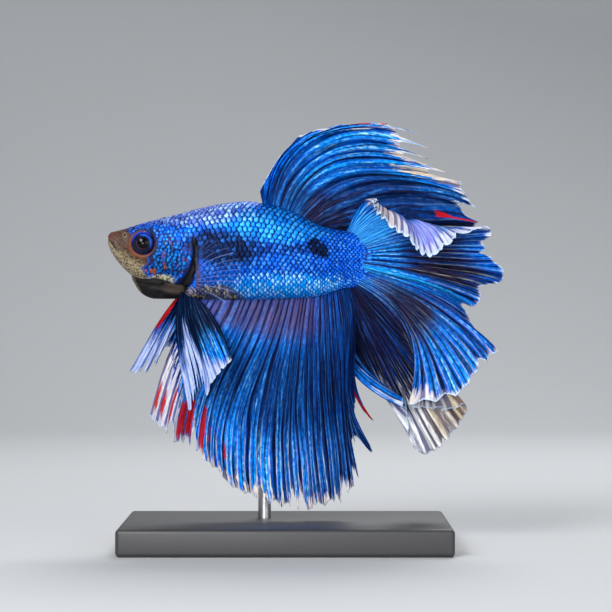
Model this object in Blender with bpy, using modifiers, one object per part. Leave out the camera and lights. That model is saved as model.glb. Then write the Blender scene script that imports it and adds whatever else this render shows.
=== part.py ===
"""Betta fish: a still, life-size model of a long-finned male on a plain display stand.

Metres, +Z up.  The head points to -X, the right-hand fins of the fan point to +X and the
fish's left side faces -Y.  The origin is the centre of the underside of the stand's base.
"""

import math

import bmesh
import bpy
from mathutils import Vector

MM = 0.001

# ---- the frame of the model -------------------------------------------------------------
GAP = 0.3  # thin cut between neighbouring solids, mm
FIN_THICKNESS = 0.6
SHARP_ANGLE = 40.0  # edges steeper than this stay sharp, degrees

# ---- trunk outline: x, back, belly, height of the widest point, half width (mm) ----------
SNOUT_X = -32.8
SNOUT_CAP = 0.7  # length over which the blunt snout closes
TAIL_END_X = 14.0
TAIL_CAP = 2.4  # length over which the tail root closes
STATIONS = (
    (-32.8, 58.0, 55.3, 56.6, 1.3),
    (-31.0, 58.4, 53.0, 55.9, 2.1),
    (-28.8, 59.0, 51.0, 55.4, 2.8),
    (-26.2, 59.8, 49.3, 54.9, 3.3),
    (-23.2, 60.6, 48.5, 54.4, 4.0),
    (-20.0, 61.4, 47.4, 54.0, 4.6),
    (-17.7, 62.0, 45.9, 54.0, 4.9),
    (-14.0, 62.9, 45.5, 54.4, 5.1),
    (-10.3, 63.5, 45.5, 54.8, 5.2),
    (-6.6, 63.7, 45.5, 55.0, 5.1),
    (-1.1, 62.7, 45.7, 54.6, 4.7),
    (2.6, 61.2, 45.8, 54.0, 4.2),
    (6.3, 59.3, 46.2, 53.3, 3.4),
    (10.0, 58.4, 47.5, 53.1, 2.6),
    (12.2, 58.2, 48.0, 53.1, 2.1),
    (14.0, 57.9, 48.4, 53.1, 1.9),
)
BODY_RINGS = 32
BODY_SEGMENTS = 20

# ---- cuts through the body --------------------------------------------------------------
GILL_CENTRE = (-26.0, 55.0)  # the gill cover's rear edge is an arc about this point
GILL_RADIUS = 9.15
PEDUNCLE_CUT_X = 7.6
MOUTH_CORNER = (-30.1, 54.5)
MOUTH_SLOPE = 46.0  # degrees below level, from snout to mouth corner
CUT_DEPTH = 30.0

# ---- eyes and gill membrane -------------------------------------------------------------
EYE_X = -26.2
EYE_Z = 55.9
EYE_RADIUS = 2.25
EYE_DEPTH = 1.4  # half thickness of the eyeball across the head
EYE_Y = 2.3
MEMBRANE_CENTRE = (-22.7, 48.6)
MEMBRANE_SIZE = (5.2, 2.7, 3.0)

# ---- stand ------------------------------------------------------------------------------
BASE_SIZE = (60.0, 40.0, 5.0)
BASE_BEVEL = 0.8
ROD_X = -4.0
ROD_Y = 4.2
ROD_RADIUS = 1.2
ROD_TOP = 52.0

# ---- fins -------------------------------------------------------------------------------
# One row for each key ray of a fan: share of the root, tip x and z (mm), direction in which
# the ray leaves the root and in which it arrives at the tip (degrees above +X), how long it
# keeps each direction (share of the straight length), y of its belly and of its tip (mm)
# and how deep the membrane is notched between the tips there (mm).
DORSAL_X = (-4.3, 7.0)
DORSAL_RAYS = (
    (0.00, -4.6, 65.6, 95, 100, 0.30, 0.30, 0.0, 0.0, 0.0),
    (0.03, -3.2, 67.5, 92, 86, 0.30, 0.30, 0.1, 0.1, 0.0),
    (0.06, -0.4, 73.4, 84, 58, 0.35, 0.35, 0.2, 0.2, 0.0),
    (0.09, 6.4, 77.1, 86, 20, 0.40, 0.40, 0.4, 0.4, 0.1),
    (0.13, 22.7, 76.6, 86, -14, 0.42, 0.50, 0.6, 0.8, 2.6),
    (0.26, 26.6, 72.9, 80, -22, 0.40, 0.50, 0.2, 1.6, 2.4),
    (0.39, 26.6, 70.2, 75, -22, 0.38, 0.50, -0.6, 0.6, 2.0),
    (0.54, 33.2, 66.9, 62, -10, 0.36, 0.50, -0.2, -0.6, 2.2),
    (0.69, 34.7, 64.3, 46, -24, 0.34, 0.50, 0.8, 0.8, 2.2),
    (0.85, 36.5, 61.2, 28, -28, 0.34, 0.50, 1.4, 2.0, 1.6),
    (1.00, 36.1, 60.1, 12, -14, 0.34, 0.50, 1.8, 2.8, 0.6),
)
ANAL_X = (-13.3, 10.7)
ANAL_RAYS = (
    (0.00, -25.1, 23.9, -130, -98, 0.36, 0.40, -0.4, -1.2, 0.2),
    (0.05, -23.6, 21.9, -122, -98, 0.34, 0.42, -0.7, -2.0, 0.8),
    (0.12, -21.0, 19.9, -116, -96, 0.33, 0.42, -0.6, -1.2, 1.0),
    (0.22, -18.1, 18.4, -110, -90, 0.34, 0.42, 0.2, 0.9, 1.4),
    (0.35, -13.5, 15.2, -108, -84, 0.34, 0.42, 0.8, 1.2, 1.6),
    (0.48, -8.9, 10.5, -105, -76, 0.34, 0.42, 0.4, -0.5, 1.9),
    (0.61, -1.5, 7.9, -101, -82, 0.34, 0.42, -0.5, -1.4, 2.0),
    (0.74, 5.9, 7.5, -96, -84, 0.34, 0.42, -0.7, -0.4, 2.0),
    (0.86, 11.4, 9.0, -88, -84, 0.34, 0.42, 0.0, 0.9, 2.4),
    (0.93, 13.3, 12.9, -88, -76, 0.34, 0.42, -0.4, 0.2, 3.6),
    (0.97, 16.0, 17.8, -90, -58, 0.34, 0.42, -0.8, -0.8, 4.6),
    (1.00, 16.0, 23.4, -92, -48, 0.34, 0.42, -1.0, -1.2, 1.6),
)
CAUDAL_CENTRE = (11.6, 53.1)
CAUDAL_ROOT = (2.8, 5.5)  # half axes of the arc on which the tail's rays start
CAUDAL_HALF_ANGLE = 72.0
CAUDAL_RAYS = (
    (0.000, 17.0, 64.1, 62, 20, 0.35, 0.30, -0.6, -1.5, 0.2),
    (0.060, 16.2, 62.1, 60, -100, 0.90, 0.55, -1.6, -5.0, 0.4),
    (0.110, 18.4, 59.1, 52, -105, 1.00, 0.75, -2.2, -6.4, 0.5),
    (0.170, 21.8, 56.6, 44, -95, 0.75, 0.75, -2.6, -7.4, 0.5),
    (0.230, 25.6, 53.0, 36, -82, 0.62, 0.72, -2.4, -7.8, 0.5),
    (0.290, 29.5, 55.3, 27, -62, 0.50, 0.55, -1.8, -6.4, 0.5),
    (0.340, 32.3, 57.3, 20, -30, 0.45, 0.40, -1.0, -4.6, 0.6),
    (0.380, 37.6, 58.8, 14, 4, 0.34, 0.34, -0.4, -2.2, 0.8),
    (0.430, 36.9, 54.3, 6, -6, 0.34, 0.34, 0.2, -0.2, 1.2),
    (0.480, 40.2, 50.6, -2, -8, 0.34, 0.34, -0.6, 0.6, 1.0),
    (0.530, 36.5, 47.9, -8, -18, 0.34, 0.34, -1.8, -0.4, 1.0),
    (0.570, 35.2, 44.4, -12, -32, 0.34, 0.34, -3.0, -2.6, 0.8),
    (0.610, 33.6, 43.8, -16, -40, 0.34, 0.34, -1.2, 0.4, 1.0),
    (0.650, 38.9, 35.9, -14, -48, 0.34, 0.34, 0.2, -2.4, 0.8),
    (0.700, 35.2, 34.1, -16, -56, 0.34, 0.34, -0.2, -4.6, 1.0),
    (0.750, 31.9, 29.1, -18, -66, 0.36, 0.36, -1.4, -6.2, 1.2),
    (0.790, 27.7, 26.9, -20, -84, 0.40, 0.38, -2.6, -7.0, 1.0),
    (0.825, 22.3, 26.1, -22, -108, 0.48, 0.40, -3.4, -6.6, 0.4),
    (0.850, 26.9, 25.2, -34, -80, 0.42, 0.36, -1.2, -2.2, 0.4),
    (0.875, 33.6, 25.0, -42, -50, 0.36, 0.34, 0.8, 2.4, 0.8),
    (0.905, 31.7, 21.5, -50, -56, 0.34, 0.34, 1.8, 3.8, 1.0),
    (0.935, 27.7, 17.3, -62, -62, 0.34, 0.34, 2.4, 4.6, 0.8),
    (0.955, 23.4, 18.0, -76, -64, 0.36, 0.34, 2.8, 4.8, 0.6),
    (0.975, 21.9, 26.5, -104, -45, 0.50, 0.40, 2.4, 1.6, 0.4),
    (1.000, 21.6, 23.4, -107, -46, 0.50, 0.40, 1.6, 0.4, 0.2),
)
PELVIC_X = (-19.2, -16.2)
PELVIC_ROOT_Y = 1.6
NEAR_PELVIC_RAYS = (
    (0.00, -17.7, 25.2, -112, -80, 0.30, 0.34, -2.2, -3.0, 0.2),
    (0.22, -15.1, 27.6, -104, -92, 0.30, 0.34, -2.8, -3.8, 1.6),
    (0.45, -13.5, 30.2, -92, -78, 0.30, 0.34, -3.2, -4.4, 1.4),
    (0.72, -11.4, 32.8, -72, -66, 0.30, 0.34, -3.2, -4.8, 1.0),
    (1.00, -9.8, 34.4, -42, -74, 0.36, 0.36, -3.0, -4.4, 0.2),
)
FAR_PELVIC_RAYS = (
    (0.00, -28.8, 32.0, -122, -136, 0.34, 0.30, 2.0, 3.6, 0.2),
    (0.30, -25.4, 33.3, -108, -112, 0.34, 0.30, 2.4, 4.4, 2.0),
    (0.65, -22.1, 35.9, -102, -96, 0.34, 0.30, 2.6, 4.4, 1.0),
    (1.00, -19.4, 36.3, -96, -80, 0.34, 0.30, 2.4, 3.8, 0.2),
)
PECTORAL_X = -16.2
PECTORAL_Z = (52.6, 47.6)
PECTORAL_RAYS = (
    (0.00, -15.3, 56.9, 84, 50, 0.34, 0.34, -6.0, -6.6, 0.2),
    (0.25, -11.1, 55.8, 70, 22, 0.40, 0.34, -6.4, -7.2, 0.5),
    (0.50, -7.9, 52.5, 30, 2, 0.34, 0.34, -6.6, -7.4, 0.5),
    (0.75, -8.5, 48.3, -5, -14, 0.34, 0.34, -6.6, -7.2, 0.5),
    (1.00, -11.8, 43.1, -36, -52, 0.34, 0.34, -6.0, -6.6, 0.2),
)

# ---- plain colours for the checks' views ------------------------------------------------
BLUE = (0.02, 0.09, 0.55)
TAN = (0.42, 0.29, 0.20)
BLACK = (0.02, 0.02, 0.03)
PALE = (0.55, 0.62, 0.80)
STAND_GREY = (0.12, 0.12, 0.13)


def blend(rows, at):
    """Return the row at a place along the table, on smooth curves through every row."""
    low = 0
    while low < len(rows) - 2 and rows[low + 1][0] < at:
        low += 1
    high = low + 1
    span = rows[high][0] - rows[low][0]
    u = min(max((at - rows[low][0]) / span, 0.0), 1.0)
    before = max(low - 1, 0)
    after = min(high + 1, len(rows) - 1)
    values = []
    for column in range(1, len(rows[0])):
        start = rows[low][column]
        end = rows[high][column]
        slope_in = (end - rows[before][column]) / (rows[high][0] - rows[before][0]) * span
        slope_out = (rows[after][column] - start) / (rows[after][0] - rows[low][0]) * span
        value = (2 * u**3 - 3 * u**2 + 1) * start + (u**3 - 2 * u**2 + u) * slope_in
        value += (3 * u**2 - 2 * u**3) * end + (u**3 - u**2) * slope_out
        values.append(value)
    return values


def closing(x):
    """Return the share of the full section that is left near the two ends of the body."""
    into_snout = min(max((SNOUT_X + SNOUT_CAP - x) / SNOUT_CAP, 0.0), 1.0)
    into_tail = min(max((x - TAIL_END_X + TAIL_CAP) / TAIL_CAP, 0.0), 1.0)
    return math.sqrt(1 - into_snout**2) * math.sqrt(1 - into_tail**2)


def section(x):
    """Return back, belly, widest height and half width of the body at x, in mm."""
    back, belly, widest, half = blend(STATIONS, x)
    share = closing(x)
    return (widest + (back - widest) * share, widest - (widest - belly) * share, widest,
            half * share)


def flank(x, z):
    """Return the half width of the body at x and height z."""
    back, belly, widest, half = section(x)
    reach = (back if z > widest else belly) - widest
    return half * math.sqrt(max(1 - ((z - widest) / reach) ** 2, 0.0))


def make_collection(name):
    """Make a collection in the scene."""
    collection = bpy.data.collections.new(name)
    bpy.context.scene.collection.children.link(collection)
    return collection


def make_material(name, colour):
    """Make a plain Principled material."""
    material = bpy.data.materials.new(name)
    material.use_nodes = True
    shader = material.node_tree.nodes["Principled BSDF"]
    shader.inputs["Base Color"].default_value = (*colour, 1.0)
    shader.inputs["Roughness"].default_value = 0.5
    material.diffuse_color = (*colour, 1.0)
    return material


def finish_mesh(bm, name, collection, colour=None):
    """Turn a bmesh in millimetres into an object in metres with outward faces."""
    bmesh.ops.scale(bm, vec=(MM, MM, MM), verts=bm.verts)
    bmesh.ops.recalc_face_normals(bm, faces=bm.faces)
    mesh = bpy.data.meshes.new(name)
    bm.to_mesh(mesh)
    bm.free()
    node = bpy.data.objects.new(name, mesh)
    collection.objects.link(node)
    if colour:
        mesh.materials.append(make_material(name + "_finish", colour))
    return node


def body_mesh(grow=0.0):
    """Wrap a sphere's rings round the fish's sections, its poles at snout and tail."""
    bm = bmesh.new()
    bmesh.ops.create_uvsphere(bm, u_segments=BODY_SEGMENTS, v_segments=BODY_RINGS, radius=1)
    length = TAIL_END_X - SNOUT_X
    for vertex in bm.verts:
        around = math.hypot(vertex.co.x, vertex.co.y)
        polar = math.atan2(around, -vertex.co.z) / math.pi
        share = polar - 0.11 * math.sin(2 * math.pi * polar)
        x = SNOUT_X + length * share
        back, belly, widest, half = section(x)
        side = vertex.co.x / around if around > 1e-6 else 0.0
        rise = vertex.co.y / around if around > 1e-6 else 0.0
        height = back - widest if rise > 0 else widest - belly
        spread = grow if around > 1e-6 else 0.0
        x += grow * (2 * share - 1) ** 9
        vertex.co = (x, (half + spread) * side, widest + (height + spread) * rise)
    return bm


def box_mesh(centre, size, turn=0.0):
    """Make a box of a size about a centre, turned in the XZ plane by an angle."""
    bm = bmesh.new()
    bmesh.ops.create_cube(bm, size=1)
    bmesh.ops.scale(bm, vec=size, verts=bm.verts)
    for vertex in bm.verts:
        x = vertex.co.x * math.cos(turn) - vertex.co.z * math.sin(turn)
        z = vertex.co.x * math.sin(turn) + vertex.co.z * math.cos(turn)
        vertex.co = Vector((x, vertex.co.y, z)) + Vector(centre)
    return bm


def drum_mesh(x, z, radius, half_length):
    """Make a drum lying along Y about a point of the XZ plane."""
    bm = bmesh.new()
    bmesh.ops.create_cone(bm, cap_ends=True, segments=48, radius1=radius, radius2=radius,
                          depth=2 * half_length)
    for vertex in bm.verts:
        vertex.co = (x + vertex.co.x, vertex.co.z, z + vertex.co.y)
    return bm


def ball_mesh(centre, size, segments=16, rings=10):
    """Make an ellipsoid with its poles along Y."""
    bm = bmesh.new()
    bmesh.ops.create_uvsphere(bm, u_segments=segments, v_segments=rings, radius=1)
    for vertex in bm.verts:
        vertex.co = (centre[0] + size[0] * vertex.co.x, centre[1] + size[1] * vertex.co.z,
                     centre[2] + size[2] * vertex.co.y)
    return bm


def cut(node, cutter, operation):
    """Add an exact boolean to a node."""
    modifier = node.modifiers.new(operation.lower() + "_" + cutter.name, "BOOLEAN")
    modifier.operation = operation
    modifier.solver = "EXACT"
    modifier.object = cutter


def build_body(parts, cutters):
    """Build head, jaw, trunk, tail root, eyes and gill membrane, with thin cuts between."""
    gill_x, gill_z = GILL_CENTRE
    inner = finish_mesh(drum_mesh(gill_x, gill_z, GILL_RADIUS - GAP / 2, CUT_DEPTH),
                        "gill_inner", cutters)
    outer = finish_mesh(drum_mesh(gill_x, gill_z, GILL_RADIUS + GAP / 2, CUT_DEPTH),
                        "gill_outer", cutters)
    slope = math.radians(-MOUTH_SLOPE)
    wedges = []
    for label, edge in (("jaw_inner", -GAP / 2), ("jaw_outer", GAP / 2)):
        size = 12.0
        offset = Vector((-size / 2 + edge, 0.0, -size / 2 + edge))
        centre = (MOUTH_CORNER[0] + offset.x * math.cos(slope) - offset.z * math.sin(slope),
                  0.0,
                  MOUTH_CORNER[1] + offset.x * math.sin(slope) + offset.z * math.cos(slope))
        wedges.append(finish_mesh(box_mesh(centre, (size, CUT_DEPTH, size), slope), label,
                                  cutters))
    jaw_inner, jaw_outer = wedges

    head = finish_mesh(body_mesh(), "head", parts, TAN)
    cut(head, inner, "INTERSECT")
    cut(head, jaw_outer, "DIFFERENCE")
    jaw = finish_mesh(body_mesh(), "lower_jaw", parts, TAN)
    cut(jaw, jaw_inner, "INTERSECT")

    front = box_mesh((PEDUNCLE_CUT_X - GAP / 2 - 30, 0, 55), (60, CUT_DEPTH, 40))
    rear = box_mesh((PEDUNCLE_CUT_X + GAP / 2 + 10, 0, 55), (20, CUT_DEPTH, 40))
    trunk = finish_mesh(body_mesh(), "trunk", parts, BLUE)
    cut(trunk, outer, "DIFFERENCE")
    cut(trunk, finish_mesh(front, "trunk_span", cutters), "INTERSECT")
    peduncle = finish_mesh(body_mesh(), "tail_root", parts, BLUE)
    cut(peduncle, finish_mesh(rear, "tail_span", cutters), "INTERSECT")

    skin_clearance = finish_mesh(body_mesh(GAP), "skin_clearance", cutters)
    membrane = ball_mesh((MEMBRANE_CENTRE[0], 0.0, MEMBRANE_CENTRE[1]), MEMBRANE_SIZE)
    membrane = finish_mesh(membrane, "gill_membrane", parts, BLACK)
    cut(membrane, skin_clearance, "DIFFERENCE")

    for name, side in (("eye_left", -1), ("eye_right", 1)):
        centre = (EYE_X, side * EYE_Y, EYE_Z)
        finish_mesh(ball_mesh(centre, (EYE_RADIUS, EYE_DEPTH, EYE_RADIUS)), name, parts,
                    BLACK)
        socket = ball_mesh(centre, (EYE_RADIUS + GAP, EYE_DEPTH + GAP, EYE_RADIUS + GAP))
        cut(head, finish_mesh(socket, name + "_socket", cutters), "DIFFERENCE")
    return skin_clearance


def back_root(at):
    """Return the place on the back where a dorsal ray starts."""
    x = DORSAL_X[0] + (DORSAL_X[1] - DORSAL_X[0]) * at
    return Vector((x, 0.0, section(x)[0] + GAP))


def belly_root(at):
    """Return the place under the belly where an anal ray starts."""
    x = ANAL_X[0] + (ANAL_X[1] - ANAL_X[0]) * at
    return Vector((x, 0.0, section(x)[1] - GAP))


def tail_root(at):
    """Return the place on the tail's arc where a caudal ray starts."""
    angle = math.radians(CAUDAL_HALF_ANGLE * (1 - 2 * at))
    return Vector((CAUDAL_CENTRE[0] + CAUDAL_ROOT[0] * math.cos(angle), 0.0,
                   CAUDAL_CENTRE[1] + CAUDAL_ROOT[1] * math.sin(angle)))


def throat_root(side):
    """Return the function of the root of one pelvic fin."""
    def place(at):
        """Return the place under the throat where a pelvic ray starts."""
        x = PELVIC_X[0] + (PELVIC_X[1] - PELVIC_X[0]) * at
        return Vector((x, side * PELVIC_ROOT_Y, section(x)[1] - GAP))
    return place


def shoulder_root(side):
    """Return the function of the root of one pectoral fin."""
    def place(at):
        """Return the place behind the gill where a pectoral ray starts."""
        z = PECTORAL_Z[0] + (PECTORAL_Z[1] - PECTORAL_Z[0]) * at
        return Vector((PECTORAL_X, side * (flank(PECTORAL_X, z) + 2 * GAP), z))
    return place


def ray_point(root, row, side, along):
    """Return the point at a share of one ray, on a cubic from root to tip."""
    tip_x, tip_z, leave, arrive, lead, trail, belly_y, tip_y, _ = row
    tip = Vector((tip_x, side * tip_y, tip_z))
    chord = (tip - root).length
    leaving = Vector((math.cos(math.radians(leave)), 0, math.sin(math.radians(leave))))
    arriving = Vector((math.cos(math.radians(arrive)), 0, math.sin(math.radians(arrive))))
    first = root + leaving * chord * lead
    second = tip - arriving * chord * trail
    first.y = (root.y + side * belly_y) / 2
    second.y = side * belly_y
    rest = 1 - along
    return (root * rest**3 + first * (3 * rest**2 * along)
            + second * (3 * rest * along**2) + tip * along**3)


def build_fin(parts, name, root, rays, count, rings, colour=BLUE, side=1):
    """Lay a grid along the rays of a fan, notch its margin and give it thickness."""
    bm = bmesh.new()
    bmesh.ops.create_grid(bm, x_segments=2 * count, y_segments=rings, size=1)
    for vertex in bm.verts:
        at = (vertex.co.x + 1) / 2
        along = (vertex.co.y + 1) / 2
        row = blend(rays, at)
        foot = root(at)
        chord = math.hypot(row[0] - foot.x, row[1] - foot.z)
        notch = max(row[-1], 0.0) * (1 + math.cos(2 * math.pi * count * at)) / 2
        vertex.co = ray_point(foot, row, side, along * (1 - notch / chord))
    fin = finish_mesh(bm, name, parts, colour)
    solid = fin.modifiers.new("thickness", "SOLIDIFY")
    solid.thickness = FIN_THICKNESS * MM
    solid.offset = 0.0
    solid.use_even_offset = False
    return fin


def build_fins(parts):
    """Build every fin."""
    build_fin(parts, "dorsal_fin", back_root, DORSAL_RAYS, 15, 8)
    build_fin(parts, "anal_fin", belly_root, ANAL_RAYS, 23, 8)
    build_fin(parts, "caudal_fin", tail_root, CAUDAL_RAYS, 26, 10)
    build_fin(parts, "pelvic_fin_left", throat_root(-1), NEAR_PELVIC_RAYS, 6, 7, PALE)
    build_fin(parts, "pelvic_fin_right", throat_root(1), FAR_PELVIC_RAYS, 5, 7, PALE)
    build_fin(parts, "pectoral_fin_left", shoulder_root(-1), PECTORAL_RAYS, 6, 6, PALE)
    build_fin(parts, "pectoral_fin_right", shoulder_root(1), PECTORAL_RAYS, 6, 6, PALE, -1)


def build_stand(parts, skin_clearance):
    """Build the flat base and the rod that ends just short of the belly."""
    base = finish_mesh(box_mesh((0, 0, BASE_SIZE[2] / 2), BASE_SIZE), "stand_base", parts,
                       STAND_GREY)
    edge = base.modifiers.new("edges", "BEVEL")
    edge.width = BASE_BEVEL * MM
    edge.segments = 2
    foot = BASE_SIZE[2] + GAP / 6
    bm = bmesh.new()
    bmesh.ops.create_cone(bm, cap_ends=True, segments=24, radius1=ROD_RADIUS,
                          radius2=ROD_RADIUS, depth=ROD_TOP - foot)
    for vertex in bm.verts:
        vertex.co += Vector((ROD_X, ROD_Y, (ROD_TOP + foot) / 2))
    rod = finish_mesh(bm, "stand_rod", parts, STAND_GREY)
    cut(rod, skin_clearance, "DIFFERENCE")


def main():
    """Build the betta fish."""
    for node in list(bpy.data.objects):
        bpy.data.objects.remove(node, do_unlink=True)
    parts = make_collection("betta_fish")
    cutters = make_collection("cutters")
    skin_clearance = build_body(parts, cutters)
    build_fins(parts)
    build_stand(parts, skin_clearance)
    for cutter in cutters.objects:
        cutter.hide_render = True
        cutter.display_type = "WIRE"
    for node in parts.objects:
        if node.name != "stand_base":
            node.data.shade_smooth()
            node.data.set_sharp_from_angle(angle=math.radians(SHARP_ANGLE))


main()
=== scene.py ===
"""Betta fish on a plain display stand: the finished looks.

Sizes are in millimetres until a mesh is finished, and in metres after that.  The fish looks
to -X and shows its left side to -Y.  Every piece rides on the one body of the frame.
"""

from __future__ import annotations

import logging
import math
from dataclasses import dataclass, field
from enum import Enum
from typing import Any, Callable

import bpy
import numpy as np
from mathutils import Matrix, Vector


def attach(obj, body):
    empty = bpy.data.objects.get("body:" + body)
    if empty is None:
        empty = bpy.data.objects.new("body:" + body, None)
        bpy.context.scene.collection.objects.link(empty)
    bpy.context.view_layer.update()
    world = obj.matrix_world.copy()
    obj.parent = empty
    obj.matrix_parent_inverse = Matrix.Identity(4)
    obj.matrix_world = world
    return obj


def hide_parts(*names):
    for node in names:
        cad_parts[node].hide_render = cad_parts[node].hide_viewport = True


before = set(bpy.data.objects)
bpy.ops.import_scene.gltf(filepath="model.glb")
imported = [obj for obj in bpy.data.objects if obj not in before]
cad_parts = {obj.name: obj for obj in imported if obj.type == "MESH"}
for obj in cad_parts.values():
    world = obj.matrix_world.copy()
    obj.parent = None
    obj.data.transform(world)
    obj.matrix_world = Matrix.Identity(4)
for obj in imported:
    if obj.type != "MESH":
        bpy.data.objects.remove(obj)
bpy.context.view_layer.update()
LOG = logging.getLogger("betta")
MM = 0.001


class Side(Enum):
    """The two flanks of the fish, by the sign of Y."""

    LEFT = -1
    RIGHT = 1


class Mark(Enum):
    """What a fin's finish can be told at a place on the fin."""

    PALE = "pale"
    CREAM = "cream"
    RED = "red"
    # Dark colour of the fin, and painted shade on panels that lie behind a fold.
    DUSK = "dusk"
    VIOLET = "violet"
    # Painted sheen: brighter cyan rays, with painted highlights and glints on their crests.
    FLASH = "flash"
    WARM = "warm"


PALE, CREAM, RED, DUSK, VIOLET, FLASH, WARM = Mark


# ---- Shapes from tables and formulas ----
def blend(rows: tuple, at: np.ndarray) -> np.ndarray:
    """Read a table on smooth curves through its rows.

    Args:
        rows: Rows whose first value is the place along the table.
        at: Places to read.

    Returns:
        One row of values for each place.
    """
    table = np.array(rows, float)
    keys = table[:, 0]
    values = table[:, 1:]
    slopes = np.empty_like(values)
    slopes[1:-1] = (values[2:] - values[:-2]) / (keys[2:] - keys[:-2])[:, None]
    slopes[0] = (values[1] - values[0]) / (keys[1] - keys[0])
    slopes[-1] = (values[-1] - values[-2]) / (keys[-1] - keys[-2])
    low = np.clip(np.searchsorted(keys, at, side="right") - 1, 0, len(keys) - 2)
    span = (keys[low + 1] - keys[low])[:, None]
    u = np.clip((at - keys[low])[:, None] / span, 0.0, 1.0)
    return ((2 * u**3 - 3 * u**2 + 1) * values[low]
            + (u**3 - 2 * u**2 + u) * span * slopes[low]
            + (3 * u**2 - 2 * u**3) * values[low + 1]
            + (u**3 - u**2) * span * slopes[low + 1])


def smooth(value: np.ndarray, low: float, high: float) -> np.ndarray:
    """Return a soft step from 0 at low to 1 at high."""
    u = np.clip((value - low) / (high - low), 0.0, 1.0)
    return u * u * (3 - 2 * u)


def bump(value: np.ndarray, middle: float, width: float) -> np.ndarray:
    """Return a soft bump of height 1 about a middle."""
    return np.exp(-(((value - middle) / width) ** 2))


def lottery(number: np.ndarray, seed: float) -> np.ndarray:
    """Return a fixed pseudo-random share for each whole number."""
    return np.modf(np.abs(np.sin(number * 12.9898 + seed * 78.233) * 43758.5453))[0]


def distance(x: Any, z: Any, middle: tuple) -> Any:
    """Return how far a place on the flank lies from another, on numbers or wires."""
    return ((x - middle[0]) ** 2 + (z - middle[1]) ** 2) ** 0.5


def face_edge(x: Any, z: Any) -> Any:
    """Return how far a place lies behind the edge of the bare face, on numbers or wires."""
    return x - (z * -0.41 - 5.1)


def jaw_lines(x: Any, z: Any) -> tuple:
    """Measure a place from the mouth's curved slit, on numbers or wires.

    Args:
        x: Place along the body.
        z: Height.

    Returns:
        How far it lies below the slit, and along it.
    """
    along = (x + 32.9) * 0.58 - (z - 57.2) * 0.80
    below = (x + 32.9) * 0.80 + (z - 57.2) * 0.58
    return below + (along - 2.0) ** 2 * 0.06, along


@dataclass(frozen=True)
class Oval:
    """An oval place on the flank."""

    x: float
    z: float
    long: float
    high: float

    def out(self, x: Any, z: Any) -> Any:
        """Return 0 at the oval's middle and 1 on its edge, on numbers or wires."""
        return ((x - self.x) / self.long) ** 2 + ((z - self.z) / self.high) ** 2


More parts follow.
